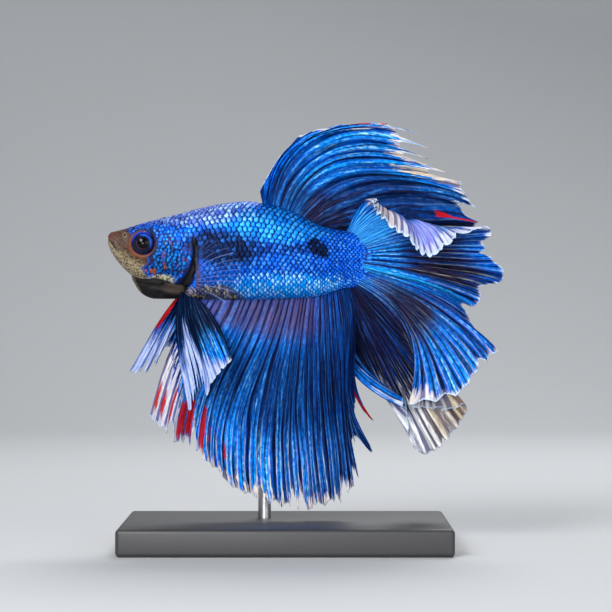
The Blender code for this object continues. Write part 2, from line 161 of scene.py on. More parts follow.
@dataclass
class BodyShape:
    """The trunk's outline: x, back, belly, widest height and half width of each station.

    The gill holds its middle and radius, and the eye too.  Distances from the eye are counted
    in units of eye_unit, and nostril is where the nose opens.
    """

    stations: tuple = (
        (-32.8, 58.0, 55.1, 56.6, 1.3), (-31.0, 58.4, 52.5, 55.9, 2.1),
        (-28.8, 59.0, 50.2, 55.4, 2.8), (-26.2, 59.8, 48.9, 54.9, 3.3),
        (-23.2, 60.6, 48.5, 54.4, 4.0), (-20.0, 61.4, 47.4, 54.0, 4.6),
        (-17.7, 62.0, 45.9, 54.0, 4.9), (-14.0, 62.9, 45.5, 54.4, 5.1),
        (-10.3, 63.5, 45.5, 54.8, 5.2), (-6.6, 63.7, 45.5, 55.0, 5.1),
        (-1.1, 62.7, 45.7, 54.6, 4.7), (2.6, 61.2, 45.8, 54.0, 4.2),
        (6.3, 59.3, 46.2, 53.3, 3.3), (10.0, 58.4, 47.5, 53.1, 2.0),
        (12.2, 58.1, 47.9, 53.1, 0.95), (14.0, 57.7, 48.4, 53.1, 0.36),
        (16.6, 57.2, 49.0, 53.1, 0.08))
    snout_x: float = -32.8
    snout_cap: float = 0.7
    tail_x: float = 16.6
    tail_cap: float = 2.0
    depth: float = 0.12
    gill: tuple = (-26.0, 55.0, 9.0)
    eye: tuple = (-26.15, 55.9, 2.28)
    eye_unit: float = 1.13
    nostril: tuple = (-29.6, 57.5)

    def section(self, x: np.ndarray) -> tuple:
        """Return back, belly, widest height and half width at each x.

        Args:
            x: Places along the body.

        Returns:
            The four, one value for each place.
        """
        back, belly, widest, half = blend(self.stations, x).T
        snout = np.clip((self.snout_x + self.snout_cap - x) / self.snout_cap, 0, 1)
        tail = np.clip((x - self.tail_x + self.tail_cap) / self.tail_cap, 0, 1)
        share = np.sqrt(1 - snout**2) * np.sqrt(1 - tail**2)
        return (widest + (back - widest) * share, widest - (widest - belly) * share, widest,
                half * share)

    def place(self, x: np.ndarray, turn: np.ndarray, inset: float) -> np.ndarray:
        """Return points of the flank.

        Args:
            x: Places along the body.
            turn: Angles from the back, over the left side, to the belly and round.
            inset: How far the points lie inside the solids' surface.

        Returns:
            An array of points.
        """
        back, belly, widest, half = self.section(x)
        rise = np.cos(turn)
        height = np.where(rise > 0, back - widest, widest - belly)
        inner = np.minimum(inset, 0.4 * half)
        return np.stack([x, -(half - inner) * np.sin(turn), widest + (height - inner) * rise], 1)

    def normal(self, x: np.ndarray, turn: np.ndarray) -> np.ndarray:
        """Return outward unit normals of the flank.

        Args:
            x: Places along the body.
            turn: Angles round the body.

        Returns:
            One unit vector for each place.
        """
        step = 0.02
        along = self.place(x + step, turn, 0) - self.place(x - step, turn, 0)
        around = self.place(x, turn + step, 0) - self.place(x, turn - step, 0)
        out = np.cross(around, along)
        return out / np.maximum(np.linalg.norm(out, axis=1), 1e-9)[:, None]

    def from_eye(self, x: Any, z: Any) -> Any:
        """Return how far a place lies from the middle of the eye, on numbers or wires."""
        return distance(x, z, self.eye) * (1 / self.eye_unit)

    def relief(self, p: np.ndarray) -> np.ndarray:
        """Return how far the skin stands out at each point, for eyes, mouth, gills and nose.

        Args:
            p: Points of the flank, in millimetres.

        Returns:
            One height for each point, negative for a hollow.
        """
        x, y, z = p.T
        from_eye = self.from_eye(x, z)
        lateral = smooth(np.abs(y), 0.8, 1.8)
        out = lateral * (0.15 * bump(from_eye, 2.22, 0.17) - 0.9 * smooth(-from_eye, -2.0, -1.6))
        from_gill = distance(x, z, self.gill)
        low = smooth(-z, -58.5, -55.5) * smooth(x, -22.5, -20.5)
        out += low * (0.16 * smooth(from_gill, 8.2, 8.9) * smooth(-from_gill, -9.1, -8.95))
        drop = np.clip(57.5 - z, 0, 10)
        out -= (low * 0.75 * bump(from_gill, 9.42 + 0.06 * drop, 0.34 + 0.055 * drop)
                * smooth(-z, -57.5, -55.0))
        out -= 0.10 * bump(from_gill, 5.6, 0.25) * smooth(x, -25.0, -23.5) * smooth(-z, -57, -54)
        jaw, reach = jaw_lines(x, z)
        slit = smooth(-reach, -3.9, -2.6)
        out += slit * (0.16 * bump(jaw, 0.42, 0.26) + 0.14 * bump(jaw, -0.40, 0.26))
        out -= slit * 0.30 * bump(jaw, 0.0, 0.10)
        for offset in (0.95, 1.35, 1.75):
            out -= 0.07 * bump(jaw, offset, 0.10) * smooth(reach, 1.2, 2.2) * slit
        nose = np.hypot(x - self.nostril[0], (z - self.nostril[1]) * 0.9)
        out += lateral * (0.04 * bump(nose, 0.32, 0.16) - 0.18 * bump(nose, 0.0, 0.15))
        return out


BODY = BodyShape()


# ---- Modelling helpers ----
def start(name: str, add: Callable, **sizes: Any) -> Any:
    """Add a primitive on its own and name it.

    Args:
        name: The name to give it.
        add: The operator that adds it.
        sizes: The operator's settings.

    Returns:
        The object.
    """
    bpy.ops.object.select_all(action="DESELECT")
    add(**sizes)
    piece = bpy.context.object
    piece.name = name
    piece.data.name = name
    return piece


def pick(piece: Any) -> None:
    """Select one object alone.

    Args:
        piece: The object.
    """
    bpy.ops.object.select_all(action="DESELECT")
    piece.select_set(True)
    bpy.context.view_layer.objects.active = piece


def read_points(piece: Any) -> np.ndarray:
    """Read a mesh's points.

    Args:
        piece: The mesh object.

    Returns:
        An array with one row for each point.
    """
    points = np.empty(len(piece.data.vertices) * 3)
    piece.data.vertices.foreach_get("co", points)
    return points.reshape(-1, 3)


def write_points(piece: Any, points: np.ndarray) -> None:
    """Give a mesh its points, from millimetres to metres."""
    piece.data.vertices.foreach_set("co", (points * MM).ravel())
    piece.data.update()


def add_value(piece: Any, name: str, values: np.ndarray) -> None:
    """Store one number for each point of a mesh, for its finish to read."""
    layer = piece.data.attributes.new(name, "FLOAT", "POINT")
    layer.data.foreach_set("value", np.asarray(values, np.float32))


def add_unwrap(piece: Any, u: np.ndarray, v: np.ndarray) -> None:
    """Give a mesh its unwrap from one place for each point.

    Args:
        piece: The mesh object.
        u: Place across the unwrap, for each point.
        v: Place up the unwrap, for each point.
    """
    while piece.data.uv_layers:
        piece.data.uv_layers.remove(piece.data.uv_layers[0])
    layer = piece.data.uv_layers.new(name="OFBake")
    corner = np.empty(len(piece.data.loops), np.int32)
    piece.data.loops.foreach_get("vertex_index", corner)
    layer.data.foreach_set("uv", np.stack([u[corner], v[corner]], 1).ravel())


def apply_modifiers(piece: Any) -> None:
    """Apply every modifier of a piece.

    Args:
        piece: The object.
    """
    pick(piece)
    for modifier in list(piece.modifiers):
        bpy.ops.object.modifier_apply(modifier=modifier.name)


def settle(piece: Any, material: Any, replaced: tuple = ()) -> Any:
    """Dress a piece, smooth it and join it to the frame.

    Args:
        piece: The finished object.
        material: Its material.
        replaced: The solids that it stands for.

    Returns:
        The piece.
    """
    piece.data.materials.clear()
    piece.data.materials.append(material)
    pick(piece)
    bpy.ops.object.shade_smooth()
    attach(piece, "root")
    if replaced:
        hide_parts(*replaced)
    LOG.info("%s: %d faces", piece.name, len(piece.data.polygons))
    return piece


# ---- Shader maths ----
class Wire:
    """One socket of a shader, with arithmetic."""

    def __init__(self, graph: Graph, socket: Any) -> None:
        """Keep the graph and the socket."""
        self.graph = graph
        self.socket = socket

    def math(self, operation: str, *others: Any) -> Wire:
        """Add a Math node on this socket and others."""
        return self.graph.node("ShaderNodeMath", {"operation": operation}, (self, *others))

    def __add__(self, other: Any) -> Wire:
        """Add."""
        return self.math("ADD", other)

    def __radd__(self, other: Any) -> Wire:
        """Add to a number."""
        return self.math("ADD", other)

    def __sub__(self, other: Any) -> Wire:
        """Subtract."""
        return self.math("SUBTRACT", other)

    def __rsub__(self, other: float) -> Wire:
        """Subtract from a number."""
        return (self * -1.0) + other

    def __mul__(self, other: Any) -> Wire:
        """Multiply."""
        return self.math("MULTIPLY", other)

    def __rmul__(self, other: Any) -> Wire:
        """Multiply a number."""
        return self.math("MULTIPLY", other)

    def __truediv__(self, other: float) -> Wire:
        """Divide by a number."""
        return self.math("DIVIDE", other)

    def __pow__(self, other: float) -> Wire:
        """Raise to a power; a square keeps negative values sound."""
        return self * self if other == 2 else self.math("POWER", other)

    def step(self, low: float, high: float) -> Wire:
        """Return a soft step from 0 at low to 1 at high."""
        return self.graph.node("ShaderNodeMapRange", {"interpolation_type": "SMOOTHSTEP"},
                               {"Value": self, "From Min": low, "From Max": high})

    def clip(self) -> Wire:
        """Keep between 0 and 1."""
        return self.graph.node("ShaderNodeClamp", {}, {"Value": self})

    def least(self, other: Any) -> Wire:
        """Return the smaller of two."""
        return self.math("MINIMUM", other)

    def most(self, other: Any) -> Wire:
        """Return the larger of two."""
        return self.math("MAXIMUM", other)


class Graph:
    """The node tree of one material."""

    def __init__(self, name: str) -> None:
        """Start a material with its Principled shader.

        Args:
            name: The name of the material.
        """
        self.material = bpy.data.materials.new(name)
        self.material.use_nodes = True
        self.tree = self.material.node_tree
        self.shader = self.tree.nodes["Principled BSDF"]

    def node(self, kind: str, settings: dict, inputs: Any, output: Any = 0) -> Wire:
        """Add any node.

        Args:
            kind: The node's type.
            settings: Its properties.
            inputs: Values or wires, by socket name or in order.
            output: The output wanted, by name or number.

        Returns:
            The output as a wire.
        """
        node = self.tree.nodes.new(kind)
        for name, value in settings.items():
            setattr(node, name, value)
        pairs = inputs.items() if isinstance(inputs, dict) else enumerate(inputs)
        for name, value in pairs:
            self.feed(node.inputs[name], value)
        return Wire(self, node.outputs[output])

    def feed(self, socket: Any, value: Any) -> None:
        """Link a wire to a socket, or set its value.

        Args:
            socket: The socket to feed.
            value: A wire, a number or a colour.
        """
        if isinstance(value, Wire):
            self.tree.links.new(value.socket, socket)
        elif isinstance(value, tuple) and len(value) == 3 and socket.type == "RGBA":
            socket.default_value = (*value, 1.0)
        else:
            socket.default_value = value

    def value(self, name: str) -> Wire:
        """Read a number stored on the mesh."""
        return self.node("ShaderNodeAttribute", {"attribute_name": name}, {}, "Fac")

    def number(self, amount: float) -> Wire:
        """Add a number that is the same everywhere.

        Args:
            amount: The number.

        Returns:
            The number as a wire.
        """
        wire = self.node("ShaderNodeValue", {}, {})
        wire.socket.default_value = amount
        return wire

    def mix(self, share: Any, first: Any, second: Any) -> Wire:
        """Mix two colours."""
        return self.node("ShaderNodeMix", {"data_type": "RGBA"},
                         {0: share, 6: first, 7: second}, 2)

    def place(self) -> tuple:
        """Read the object's own coordinates.

        Returns:
            X and Z in millimetres, and the point itself in metres.
        """
        point = self.node("ShaderNodeTexCoord", {}, {}, "Object")
        parts = self.node("ShaderNodeSeparateXYZ", {}, {"Vector": point}).socket.node.outputs
        return Wire(self, parts["X"]) * 1000.0, Wire(self, parts["Z"]) * 1000.0, point

    def vector(self, x: Any, y: Any, z: Any) -> Wire:
        """Join three numbers to a vector."""
        return self.node("ShaderNodeCombineXYZ", {}, (x, y, z))

    def noise(self, point: Wire, scale: float, detail: float = 3.0,
              roughness: float = 0.55) -> Wire:
        """Add soft noise.

        Args:
            point: Where it is read.
            scale: How fine it is.
            detail: How many finer layers it has.
            roughness: How strong the finer layers are.

        Returns:
            The noise, between 0 and 1.
        """
        return self.node("ShaderNodeTexNoise", {},
                         {"Vector": point, "Scale": scale, "Detail": detail,
                          "Roughness": roughness}, "Fac")

    def strands(self, across: Wire, along: Wire, layer: float, detail: float = 2.0,
                roughness: float = 0.6) -> Wire:
        """Return noise that is drawn out along the rays of a fin.

        Args:
            across: Place across the rays.
            along: Place along the rays.
            layer: A number that sets one noise apart from the others.
            detail: How many finer layers it has.
            roughness: How strong the finer layers are.

        Returns:
            The noise, between 0 and 1.
        """
        return self.noise(self.vector(across, along, layer), 1.0, detail, roughness)

    def relief(self, height: Wire, depth: float, strength: float = 1.0) -> None:
        """Feed a height to the shader's normal.

        Args:
            height: The height, from 0 to 1.
            depth: How deep the relief is, in metres.
            strength: How much of it shows.
        """
        normal = self.node("ShaderNodeBump", {},
                           {"Height": height, "Distance": depth, "Strength": strength})
        self.feed(self.shader.inputs["Normal"], normal)

    def finish(self, **sockets: Any) -> Any:
        """Set the shader's sockets.

        Args:
            sockets: A value or a wire for each, with _ for a space in its name.

        Returns:
            The material.
        """
        for name, value in sockets.items():
            self.feed(self.shader.inputs[name.replace("_", " ")], value)
        return self.material


@dataclass(frozen=True)
class Tints:
    """The fish's colours, in linear light."""

    royal: tuple = (0.0, 0.09, 0.68)
    azure: tuple = (0.0, 0.22, 0.95)
    cyan: tuple = (0.010, 0.38, 0.93)
    ice: tuple = (0.42, 0.76, 1.00)
    lilac: tuple = (0.36, 0.44, 1.0)
    violet: tuple = (0.22, 0.20, 0.72)
    navy: tuple = (0.0004, 0.003, 0.030)
    black: tuple = (0.004, 0.004, 0.006)
    plum: tuple = (0.028, 0.017, 0.045)
    red: tuple = (0.44, 0.006, 0.006)
    rust: tuple = (0.16, 0.042, 0.014)
    cream: tuple = (0.66, 0.53, 0.34)
    white: tuple = (0.56, 0.60, 0.72)


TINT = Tints()


# ---- Finishes of the body ----
@dataclass
class Place:
    """Where a finish is read: the place on the flank and what varies there, as wires."""

    graph: Graph
    tone: Wire
    x: Wire
    z: Wire
    point: Wire
    wobble: Wire
    drift: Wire


@dataclass(frozen=True)
class Markings:
    """The colours that skin and scales share, and the ovals that they fill."""

    back: Oval = Oval(-1.5, 59.7, 13.5, 4.6)
    flank: Oval = Oval(0.5, 47.2, 13.5, 2.9)
    nape: Oval = Oval(-17.5, 61.3, 10.5, 2.6)
    # Painted shadow of the pectoral fin on the flank.
    shade: Oval = Oval(-11.2, 53.7, 8.0, 3.7)
    band: Oval = Oval(-2.0, 54.8, 12.0, 1.3)
    spot: Oval = Oval(5.9, 55.0, 1.8, 2.1)
    belly: Oval = Oval(-13.0, 45.7, 5.6, 2.9)
    throat: Oval = Oval(-17.9, 46.4, 2.0, 1.7)
    chin: Oval = Oval(-26.8, 52.8, 1.9, 1.5)
    lip: Oval = Oval(-32.2, 57.5, 1.6, 1.0)
    cheek: Oval = Oval(-22.9, 49.1, 2.9, 1.3)
    night: tuple = (0.0003, 0.0028, 0.018)
    dim: tuple = (0.0, 0.045, 0.20)
    soot: tuple = (0.045, 0.045, 0.045)
    sand: tuple = (0.26, 0.19, 0.11)
    straw: tuple = (0.46, 0.42, 0.30)
    umber: tuple = (0.010, 0.004, 0.003)
    snout: tuple = (0.100, 0.048, 0.026)
    earth: tuple = (0.010, 0.008, 0.006)
    pebble: tuple = (0.33, 0.265, 0.16)
    lip_tint: tuple = (0.10, 0.032, 0.020)
    mouth: tuple = (0.24, 0.18, 0.13)
    lemon: tuple = (0.72, 0.66, 0.34)

    def paint(self, graph: Graph, tone: Wire) -> tuple:
        """Return the colour of the coat at the object's own coordinates, and how dull it is.

        Args:
            graph: The graph to add to.
            tone: What varies from scale to scale, from 0 to 1.

        Returns:
            The colour, and the share of dark or bare places.
        """
        x, z, point = graph.place()
        here = Place(graph, tone, x, z, point, graph.noise(point, 260.0, 2.0) - 0.5,
                     graph.noise(point, 900.0, 2.0))
        colour, glow = self.paint_blues(here)
        colour, dark = self.paint_darks(here, colour, glow)
        colour, belly = self.paint_belly(here, colour)
        colour, bare, grain = self.paint_face(here, colour)
        cheek = 1.0 - self.cheek.out(x, z).step(0.3, 1.2)
        cheek = (cheek * (1.2 + here.wobble * 3.0) * (grain * 0.4 + 0.6)).clip()
        colour = graph.mix(cheek, colour, self.lemon)
        gap = self.gill_gap(here)
        dull = dark.most(bare).most(gap).most(belly).most(cheek).clip()
        return graph.mix(gap, colour, TINT.black), dull

    def paint_blues(self, here: Place) -> tuple:
        """Return the blue, brighter on back and flank, with a painted lilac highlight on the nape,
        and its glow.

        Args:
            here: The place and what varies there.

        Returns:
            The colour and the glow.
        """
        x, z = here.x, here.z
        glow = (1.0 - self.back.out(x, z).step(0.25, 1.2)).most(
            1.0 - self.flank.out(x, z).step(0.2, 1.1))
        glow = (glow * 0.75 + here.tone * 0.55 - 0.25 + here.wobble * 0.5).clip()
        colour = here.graph.mix(glow, TINT.royal, TINT.azure)
        colour = here.graph.mix((glow * 1.5 - 0.75 + here.drift * 0.4).clip() * 0.6, colour,
                                TINT.cyan)
        # Painted highlight: lilac on the nape, where the light falls on the top of the back.
        crest_highlight = (1.0 - self.nape.out(x, z).step(0.3, 1.1)) * (here.tone * 0.7 + 0.25)
        return here.graph.mix(crest_highlight.clip() * 0.6, colour, TINT.lilac), glow

    def paint_darks(self, here: Place, colour: Wire, glow: Wire) -> tuple:
        """Return the colour with the flank's dark band and spot and the painted shadow of the
        pectoral fin, and how dark they are.

        Args:
            here: The place and what varies there.
            colour: The colour so far.
            glow: How bright the blue is.

        Returns:
            The colour and the share of the patches.
        """
        x, z, wobble = here.x, here.z, here.wobble
        # Painted shadow: the shade oval darkens the flank where the pectoral fin casts its shadow;
        # the band and the spot are the fish's own dark marks.
        shade = 1.0 - (self.shade.out(x, z + x * 0.1) + wobble * 1.1).step(0.05, 1.5)
        band = 1.0 - self.band.out(x, z).step(0.1, 1.3)
        leaning = x + (z - self.spot.z) * 0.5
        spot = 1.0 - (self.spot.out(leaning, z) + wobble * 3.0).step(0.1, 1.3)
        dark = shade.most(band * 0.55).most(spot)
        dark = (dark * (1.45 - here.tone * 0.6) + wobble * 0.8 * dark).clip()
        dim = glow.most(here.drift.step(0.5, 0.7) * 0.8) * 0.45
        return here.graph.mix(dark * 0.98, colour,
                              here.graph.mix(dim, self.night, self.dim)), dark

    def paint_belly(self, here: Place, colour: Wire) -> tuple:
        """Return the colour with the bare belly and the cream throat, and the belly.

        Args:
            here: The place and what varies there.
            colour: The colour so far.

        Returns:
            The colour and the share of the belly.
        """
        graph, x, z, wobble = here.graph, here.x, here.z, here.wobble
        brown = graph.mix(here.drift.step(0.35, 0.65), self.soot, self.sand)
        brown = graph.mix(here.tone.step(0.62, 0.8), brown, self.straw)
        belly = 1.0 - self.belly.out(x, z).step(0.15, 1.25)
        belly = (belly * (1.25 + wobble * 3.5) * (0.7 + here.tone * 0.5)).clip()
        colour = graph.mix(belly, colour, brown)
        throat = 1.0 - self.throat.out(x, z).step(0.3, 1.1)
        return graph.mix((throat * (1.0 + wobble * 3.0)).clip(), colour, TINT.cream), belly

    def paint_face(self, here: Place, colour: Wire) -> tuple:
        """Return the colour with the bare brown face, where it is bare, and its grain.

        Args:
            here: The place and what varies there.
            colour: The colour so far.

        Returns:
            The colour, the bare share and the grain.
        """
        graph, x, z, wobble = here.graph, here.x, here.z, here.wobble
        edge = face_edge(x, z) + wobble * 1.8 + (here.drift - 0.5) * 1.6
        bare = (1.0 - edge.step(-0.5, 0.5)).most(1.0 - self.chin.out(x, z).step(0.5, 1.1))
        grain = graph.noise(here.point, 3000.0, 4.0, 0.75).step(0.36, 0.64)
        face = graph.mix(grain, self.umber, self.snout)
        low = ((z * -1.0 - x * 0.62) + wobble * 1.5).step(-36.6, -34.6)
        face = graph.mix(low, face, graph.mix(grain, self.earth, self.pebble))
        lip = 1.0 - self.lip.out(x, z).step(0.3, 1.2)
        face = graph.mix(lip * 0.7, face, self.lip_tint)
        front = 1.0 - (x + (z - 56.0) * 0.25).step(-32.5, -31.7)
        face = graph.mix(front * (1.0 - lip) * 0.6, face, self.mouth)
        return graph.mix(bare, colour, face), bare, grain

    def gill_gap(self, here: Place) -> Wire:
        """Return the share of the painted shade in the gap behind the gill cover.

        Args:
            here: The place and what varies there.

        Returns:
            The share, from 0 to 1.
        """
        from_gill = distance(here.x, here.z, BODY.gill)
        drop = (57.5 - here.z).most(0.0)
        # Painted shade: the slit behind the gill cover's edge is painted black.
        gap = from_gill.step(9.0, 9.15) * (1.0 - (from_gill - drop * 0.13).step(9.5, 9.9))
        return gap * (1.0 - here.z.step(56.0, 57.6)) * here.x.step(-22.5, -21.0)


@dataclass(frozen=True)
class SkinFinish:
    """The skin: the coat's markings, and bare rims of the eyes, nostrils and lips."""

    tone: float = 0.25
    roughness: float = 0.36
    gloss: float = 0.22
    tail_dark: tuple = (0.0, 0.02, 0.14)
    tail_blue: tuple = (0.0, 0.12, 0.62)
    # Painted shade colours for the mouth's creases and slit.
    crease: tuple = (0.05, 0.028, 0.022)
    slit: tuple = (0.02, 0.012, 0.012)

    def make(self) -> Any:
        """Make the material.

        Returns:
            The material.
        """
        graph = Graph("fish_skin")
        colour, dull = Markings().paint(graph, graph.number(self.tone))
        x, z, point = graph.place()
        mottle = graph.noise(point, 1500.0, 3.0, 0.6).step(0.42, 0.58)
        bare = (mottle * 0.3 + 0.5 + (1.0 - x.step(-19.5, -16.0)) * 0.35).clip()
        colour = graph.mix(bare * (1.0 - dull), colour, TINT.navy)
        colour = graph.mix(x.step(11.0, 13.0), colour,
                           graph.mix(mottle, self.tail_dark, self.tail_blue))
        colour = self.paint_openings(graph, x, z, mottle, colour)
        colour = self.paint_lips(graph, x, z, mottle, colour)
        grain = graph.noise(point, 3200.0, 5.0, 0.7)
        pits = graph.node("ShaderNodeTexVoronoi", {"feature": "DISTANCE_TO_EDGE"},
                          {"Vector": point, "Scale": 2600.0}, "Distance")
        graph.relief(grain * 0.5 + pits * 0.8, 0.00006, 0.6)
        return graph.finish(Base_Color=colour, Roughness=grain * 0.25 + self.roughness,
                            Specular_IOR_Level=self.gloss)

    @staticmethod
    def paint_openings(graph: Graph, x: Wire, z: Wire, mottle: Wire, colour: Wire) -> Wire:
        """Return the colour with the rust rim of the eye, painted shade in its socket, and the
        nostril with painted shade in its hole.

        Args:
            graph: The graph to add to.
            x: Place along the body.
            z: Height.
            mottle: Soft noise.
            colour: The colour so far.

        Returns:
            The colour.
        """
        from_eye = BODY.from_eye(x, z)
        tilt = (x - BODY.eye[0]) * 0.7 + (z - BODY.eye[1]) * 0.7
        ring = from_eye.step(1.86, 2.0) * (1.0 - (from_eye - (tilt * -0.12 + 2.18)).step(
            -0.12, 0.12))
        colour = graph.mix(ring * (0.6 + mottle * 0.3), colour, TINT.rust)
        # Painted shade: black in the socket round the eyeball.
        colour = graph.mix(1.0 - from_eye.step(1.75, 1.95), colour, TINT.black)
        nose = ((x - BODY.nostril[0]) ** 2 + ((z - BODY.nostril[1]) * 0.9) ** 2) ** 0.5
        colour = graph.mix(nose.step(0.16, 0.3) * (1.0 - nose.step(0.36, 0.6)) * 0.12, colour,
                           TINT.cream)
        # Painted shade: black in the nostril's hole.
        return graph.mix((1.0 - nose.step(0.08, 0.24)) * 0.8, colour, TINT.black)

    def paint_lips(self, graph: Graph, x: Wire, z: Wire, mottle: Wire, colour: Wire) -> Wire:
        """Return the colour with painted shade in the mouth's slit and in the creases behind it.

        Args:
            graph: The graph to add to.
            x: Place along the body.
            z: Height.
            mottle: Soft noise.
            colour: The colour so far.

        Returns:
            The colour.
        """
        below, along = jaw_lines(x, z)
        line = (1.0 - (below * below).step(0.002, 0.02)) * (1.0 - along.step(2.6, 3.9))
        fold_shade = (below * 9.0 + mottle * 0.6).math("SINE") * 0.5 + 0.5
        # Painted shade in the creases behind the mouth, in bands along the folds.
        crease = below.step(0.3, 0.9) * (1.0 - below.step(2.4, 3.2)) * (1.0 - along.step(3.0, 4.6))
        colour = graph.mix(crease * fold_shade * 0.6, colour, self.crease)
        # Painted shade along the mouth's slit.
        return graph.mix(line * 0.75, colour, self.slit)


@dataclass(frozen=True)
class ScaleFinish:
    """The scales: bright middles, dark edges, painted sheen of ice on the belly and a painted
    lilac highlight on the nape.
    """

    low: Oval = Oval(0.0, 47.4, 14.5, 3.4)
    high: Oval = Oval(-15.5, 62.0, 13.0, 3.0)
    cheek: Oval = Oval(-21.5, 53.0, 4.5, 4.0)
    jowl: Oval = Oval(-24.6, 50.9, 3.2, 1.9)
    roughness: float = 0.28
    metal: float = 0.55
    gloss: float = 0.12
    gleam: tuple = (0.015, 0.28, 1.0)
    cheek_gleam: tuple = (0.0, 0.34, 0.62)
    cheek_dark: tuple = (0.0, 0.035, 0.15)
    # Painted sheen colour for the belly band.
    wash: tuple = (0.0, 0.42, 1.0)
    edge_dark: tuple = (0.0003, 0.002, 0.016)
    edge_blue: tuple = (0.0, 0.07, 0.52)
    fleck: tuple = (0.30, 0.07, 0.012)

    def make(self) -> Any:
        """Make the material.

        Returns:
            The material.
        """
        graph = Graph("fish_scales")
        tone, rim = graph.value("tone"), graph.value("rim")
        x, z, point = graph.place()
        colour, dull = Markings().paint(graph, tone)
        clean = 1.0 - dull
        grain = graph.noise(point, 5200.0, 3.0, 0.7).step(0.34, 0.66)
        middle = 1.0 - rim.step(0.1, 0.8)
        blot = graph.noise(point, 900.0, 2.0)
        # Painted sheen: the belly band is brightened with cyan and ice glints.
        low = 1.0 - (self.low.out(x, z) + blot * 0.7 - 0.35).step(0.2, 1.2)
        high = 1.0 - self.high.out(x, z).step(0.2, 1.1)
        cheek = 1.0 - self.cheek.out(x, z).step(0.4, 1.1)
        # Painted highlight: the scales' middles turn lilac on the nape.
        shine = graph.mix(high, self.gleam, TINT.lilac)
        shine = graph.mix(cheek * 0.8, shine, self.cheek_gleam)
        colour = graph.mix(cheek * clean * 0.65, colour, self.cheek_dark)
        colour = graph.mix((middle * (0.04 + tone * 0.5) * clean).clip(), colour, shine)
        # Painted sheen of cyan over the belly band.
        wash = (low * (middle * 0.6 + 0.5) * clean).clip()
        colour = graph.mix(wash * 0.85, colour, self.wash)
        # Painted glints: ice sparkles on the scales' middles, strongest on the belly band and the
        # nape.
        lift = (low * 2.8 + high * 0.95 + 0.12) * clean * (1.0 - cheek * 0.7)
        sparkle = (middle * (tone * 1.7 - 0.75 + grain * 0.6)).clip()
        colour = graph.mix((sparkle * lift).clip() * 0.9, colour, TINT.ice)
        edge = (rim + grain * 0.4 + blot * 0.6 - 0.5 - low * 0.12).step(0.48, 0.84)
        lattice = graph.mix(clean * (low * 0.7 + 0.28 - cheek * 0.3), self.edge_dark,
                            self.edge_blue)
        colour = graph.mix(edge * 0.95, colour, lattice)
        jowl = 1.0 - self.jowl.out(x, z).step(0.5, 1.2)
        fleck = tone.step(0.15, 0.10) * (jowl * 0.8 + cheek * 0.2).clip()
        colour = graph.mix(fleck, colour, self.fleck)
        graph.relief(grain, 0.00004, 0.5)
        return graph.finish(Base_Color=colour, Roughness=grain * 0.2 + self.roughness,
                            Metallic=self.metal, Specular_IOR_Level=self.gloss)


@dataclass(frozen=True)
class EyeFinish:
    """The eye: black pupil, navy iris with a painted blue highlight arc and a rust rim."""

    roughness: float = 0.06
    gloss: float = 0.14
    pupil: tuple = (0.001, 0.001, 0.001)
    iris_dark: tuple = (0.003, 0.003, 0.006)
    iris_navy: tuple = (0.009, 0.013, 0.05)
    arc: tuple = (0.01, 0.12, 0.75)
    crown: tuple = (0.008, 0.035, 0.42)

    def make(self) -> Any:
        """Make the material.

        Returns:
            The material.
        """
        graph = Graph("fish_eye")
        x, z, point = graph.place()
        from_eye = BODY.from_eye(x, z)
        fibre = graph.noise(point, 2200.0, 4.0, 0.7)
        iris = graph.mix(fibre.step(0.3, 0.7), self.iris_dark, self.iris_navy)
        across, up = x - BODY.eye[0], z - BODY.eye[1]
        tilt = across * 0.75 + up * 0.66
        # Painted highlight: a blue arc on the upper right of the iris.
        arc = from_eye.step(1.1, 1.25) * (1.0 - from_eye.step(1.35, 1.6)) * tilt.step(0.3, 1.1)
        iris = graph.mix((arc * (fibre * 1.4)).clip() * 0.85, iris, self.arc)
        crown = from_eye.step(1.5, 1.8) * (up - across * 0.3).step(0.5, 1.5)
        iris = graph.mix(crown * 0.9, iris, self.crown)
        ring = from_eye.step(0.89, 0.94) * (1.0 - from_eye.step(0.97, 1.04))
        iris = graph.mix(ring * tilt.step(0.0, -1.0) * 0.45, iris, TINT.rust)
        colour = graph.mix(1.0 - from_eye.step(0.89, 0.95), iris, self.pupil)
        colour = graph.mix(from_eye.step(1.86, 1.96), colour, TINT.rust)
        return graph.finish(Base_Color=colour, Roughness=self.roughness,
                            Specular_IOR_Level=self.gloss)


@dataclass(frozen=True)
class MembraneFinish:
    """The dark folds under the gills, with a painted brownish highlight behind, speckled at the
    chin.
    """

    rear: Oval = Oval(-20.2, 47.6, 3.2, 1.3)
    roughness: float = 0.45
    gloss: float = 0.15
    dark: tuple = (0.002, 0.002, 0.003)
    grey: tuple = (0.035, 0.028, 0.024)
    brown: tuple = (0.065, 0.046, 0.034)
    speck: tuple = (0.17, 0.14, 0.09)

    def make(self) -> Any:
        """Make the material.

        Returns:
            The material.
        """
        graph = Graph("gill_folds")
        x, z, point = graph.place()
        streak = graph.noise(graph.vector(x * 0.25, 0.0, z * 1.4), 2.2, 4.0, 0.6)
        colour = graph.mix(streak.step(0.45, 0.8) * 0.6, self.dark, self.grey)
        # Painted highlight: brown on the streaks of the rear folds.
        rear = 1.0 - self.rear.out(x, z).step(0.0, 1.1)
        colour = graph.mix(rear * streak, colour, self.brown)
        chin = 1.0 - (x + (z - 46.8) * 0.55 + 26.5).step(-0.3, 0.25)
        speck = graph.noise(point, 3000.0, 4.0, 0.7)
        colour = graph.mix((chin * (speck * 3.0 - 1.0)).clip(), colour, self.speck)
        graph.relief(streak, 0.0001, 0.5)
        return graph.finish(Base_Color=colour, Roughness=streak * 0.3 + self.roughness,
                            Specular_IOR_Level=self.gloss)


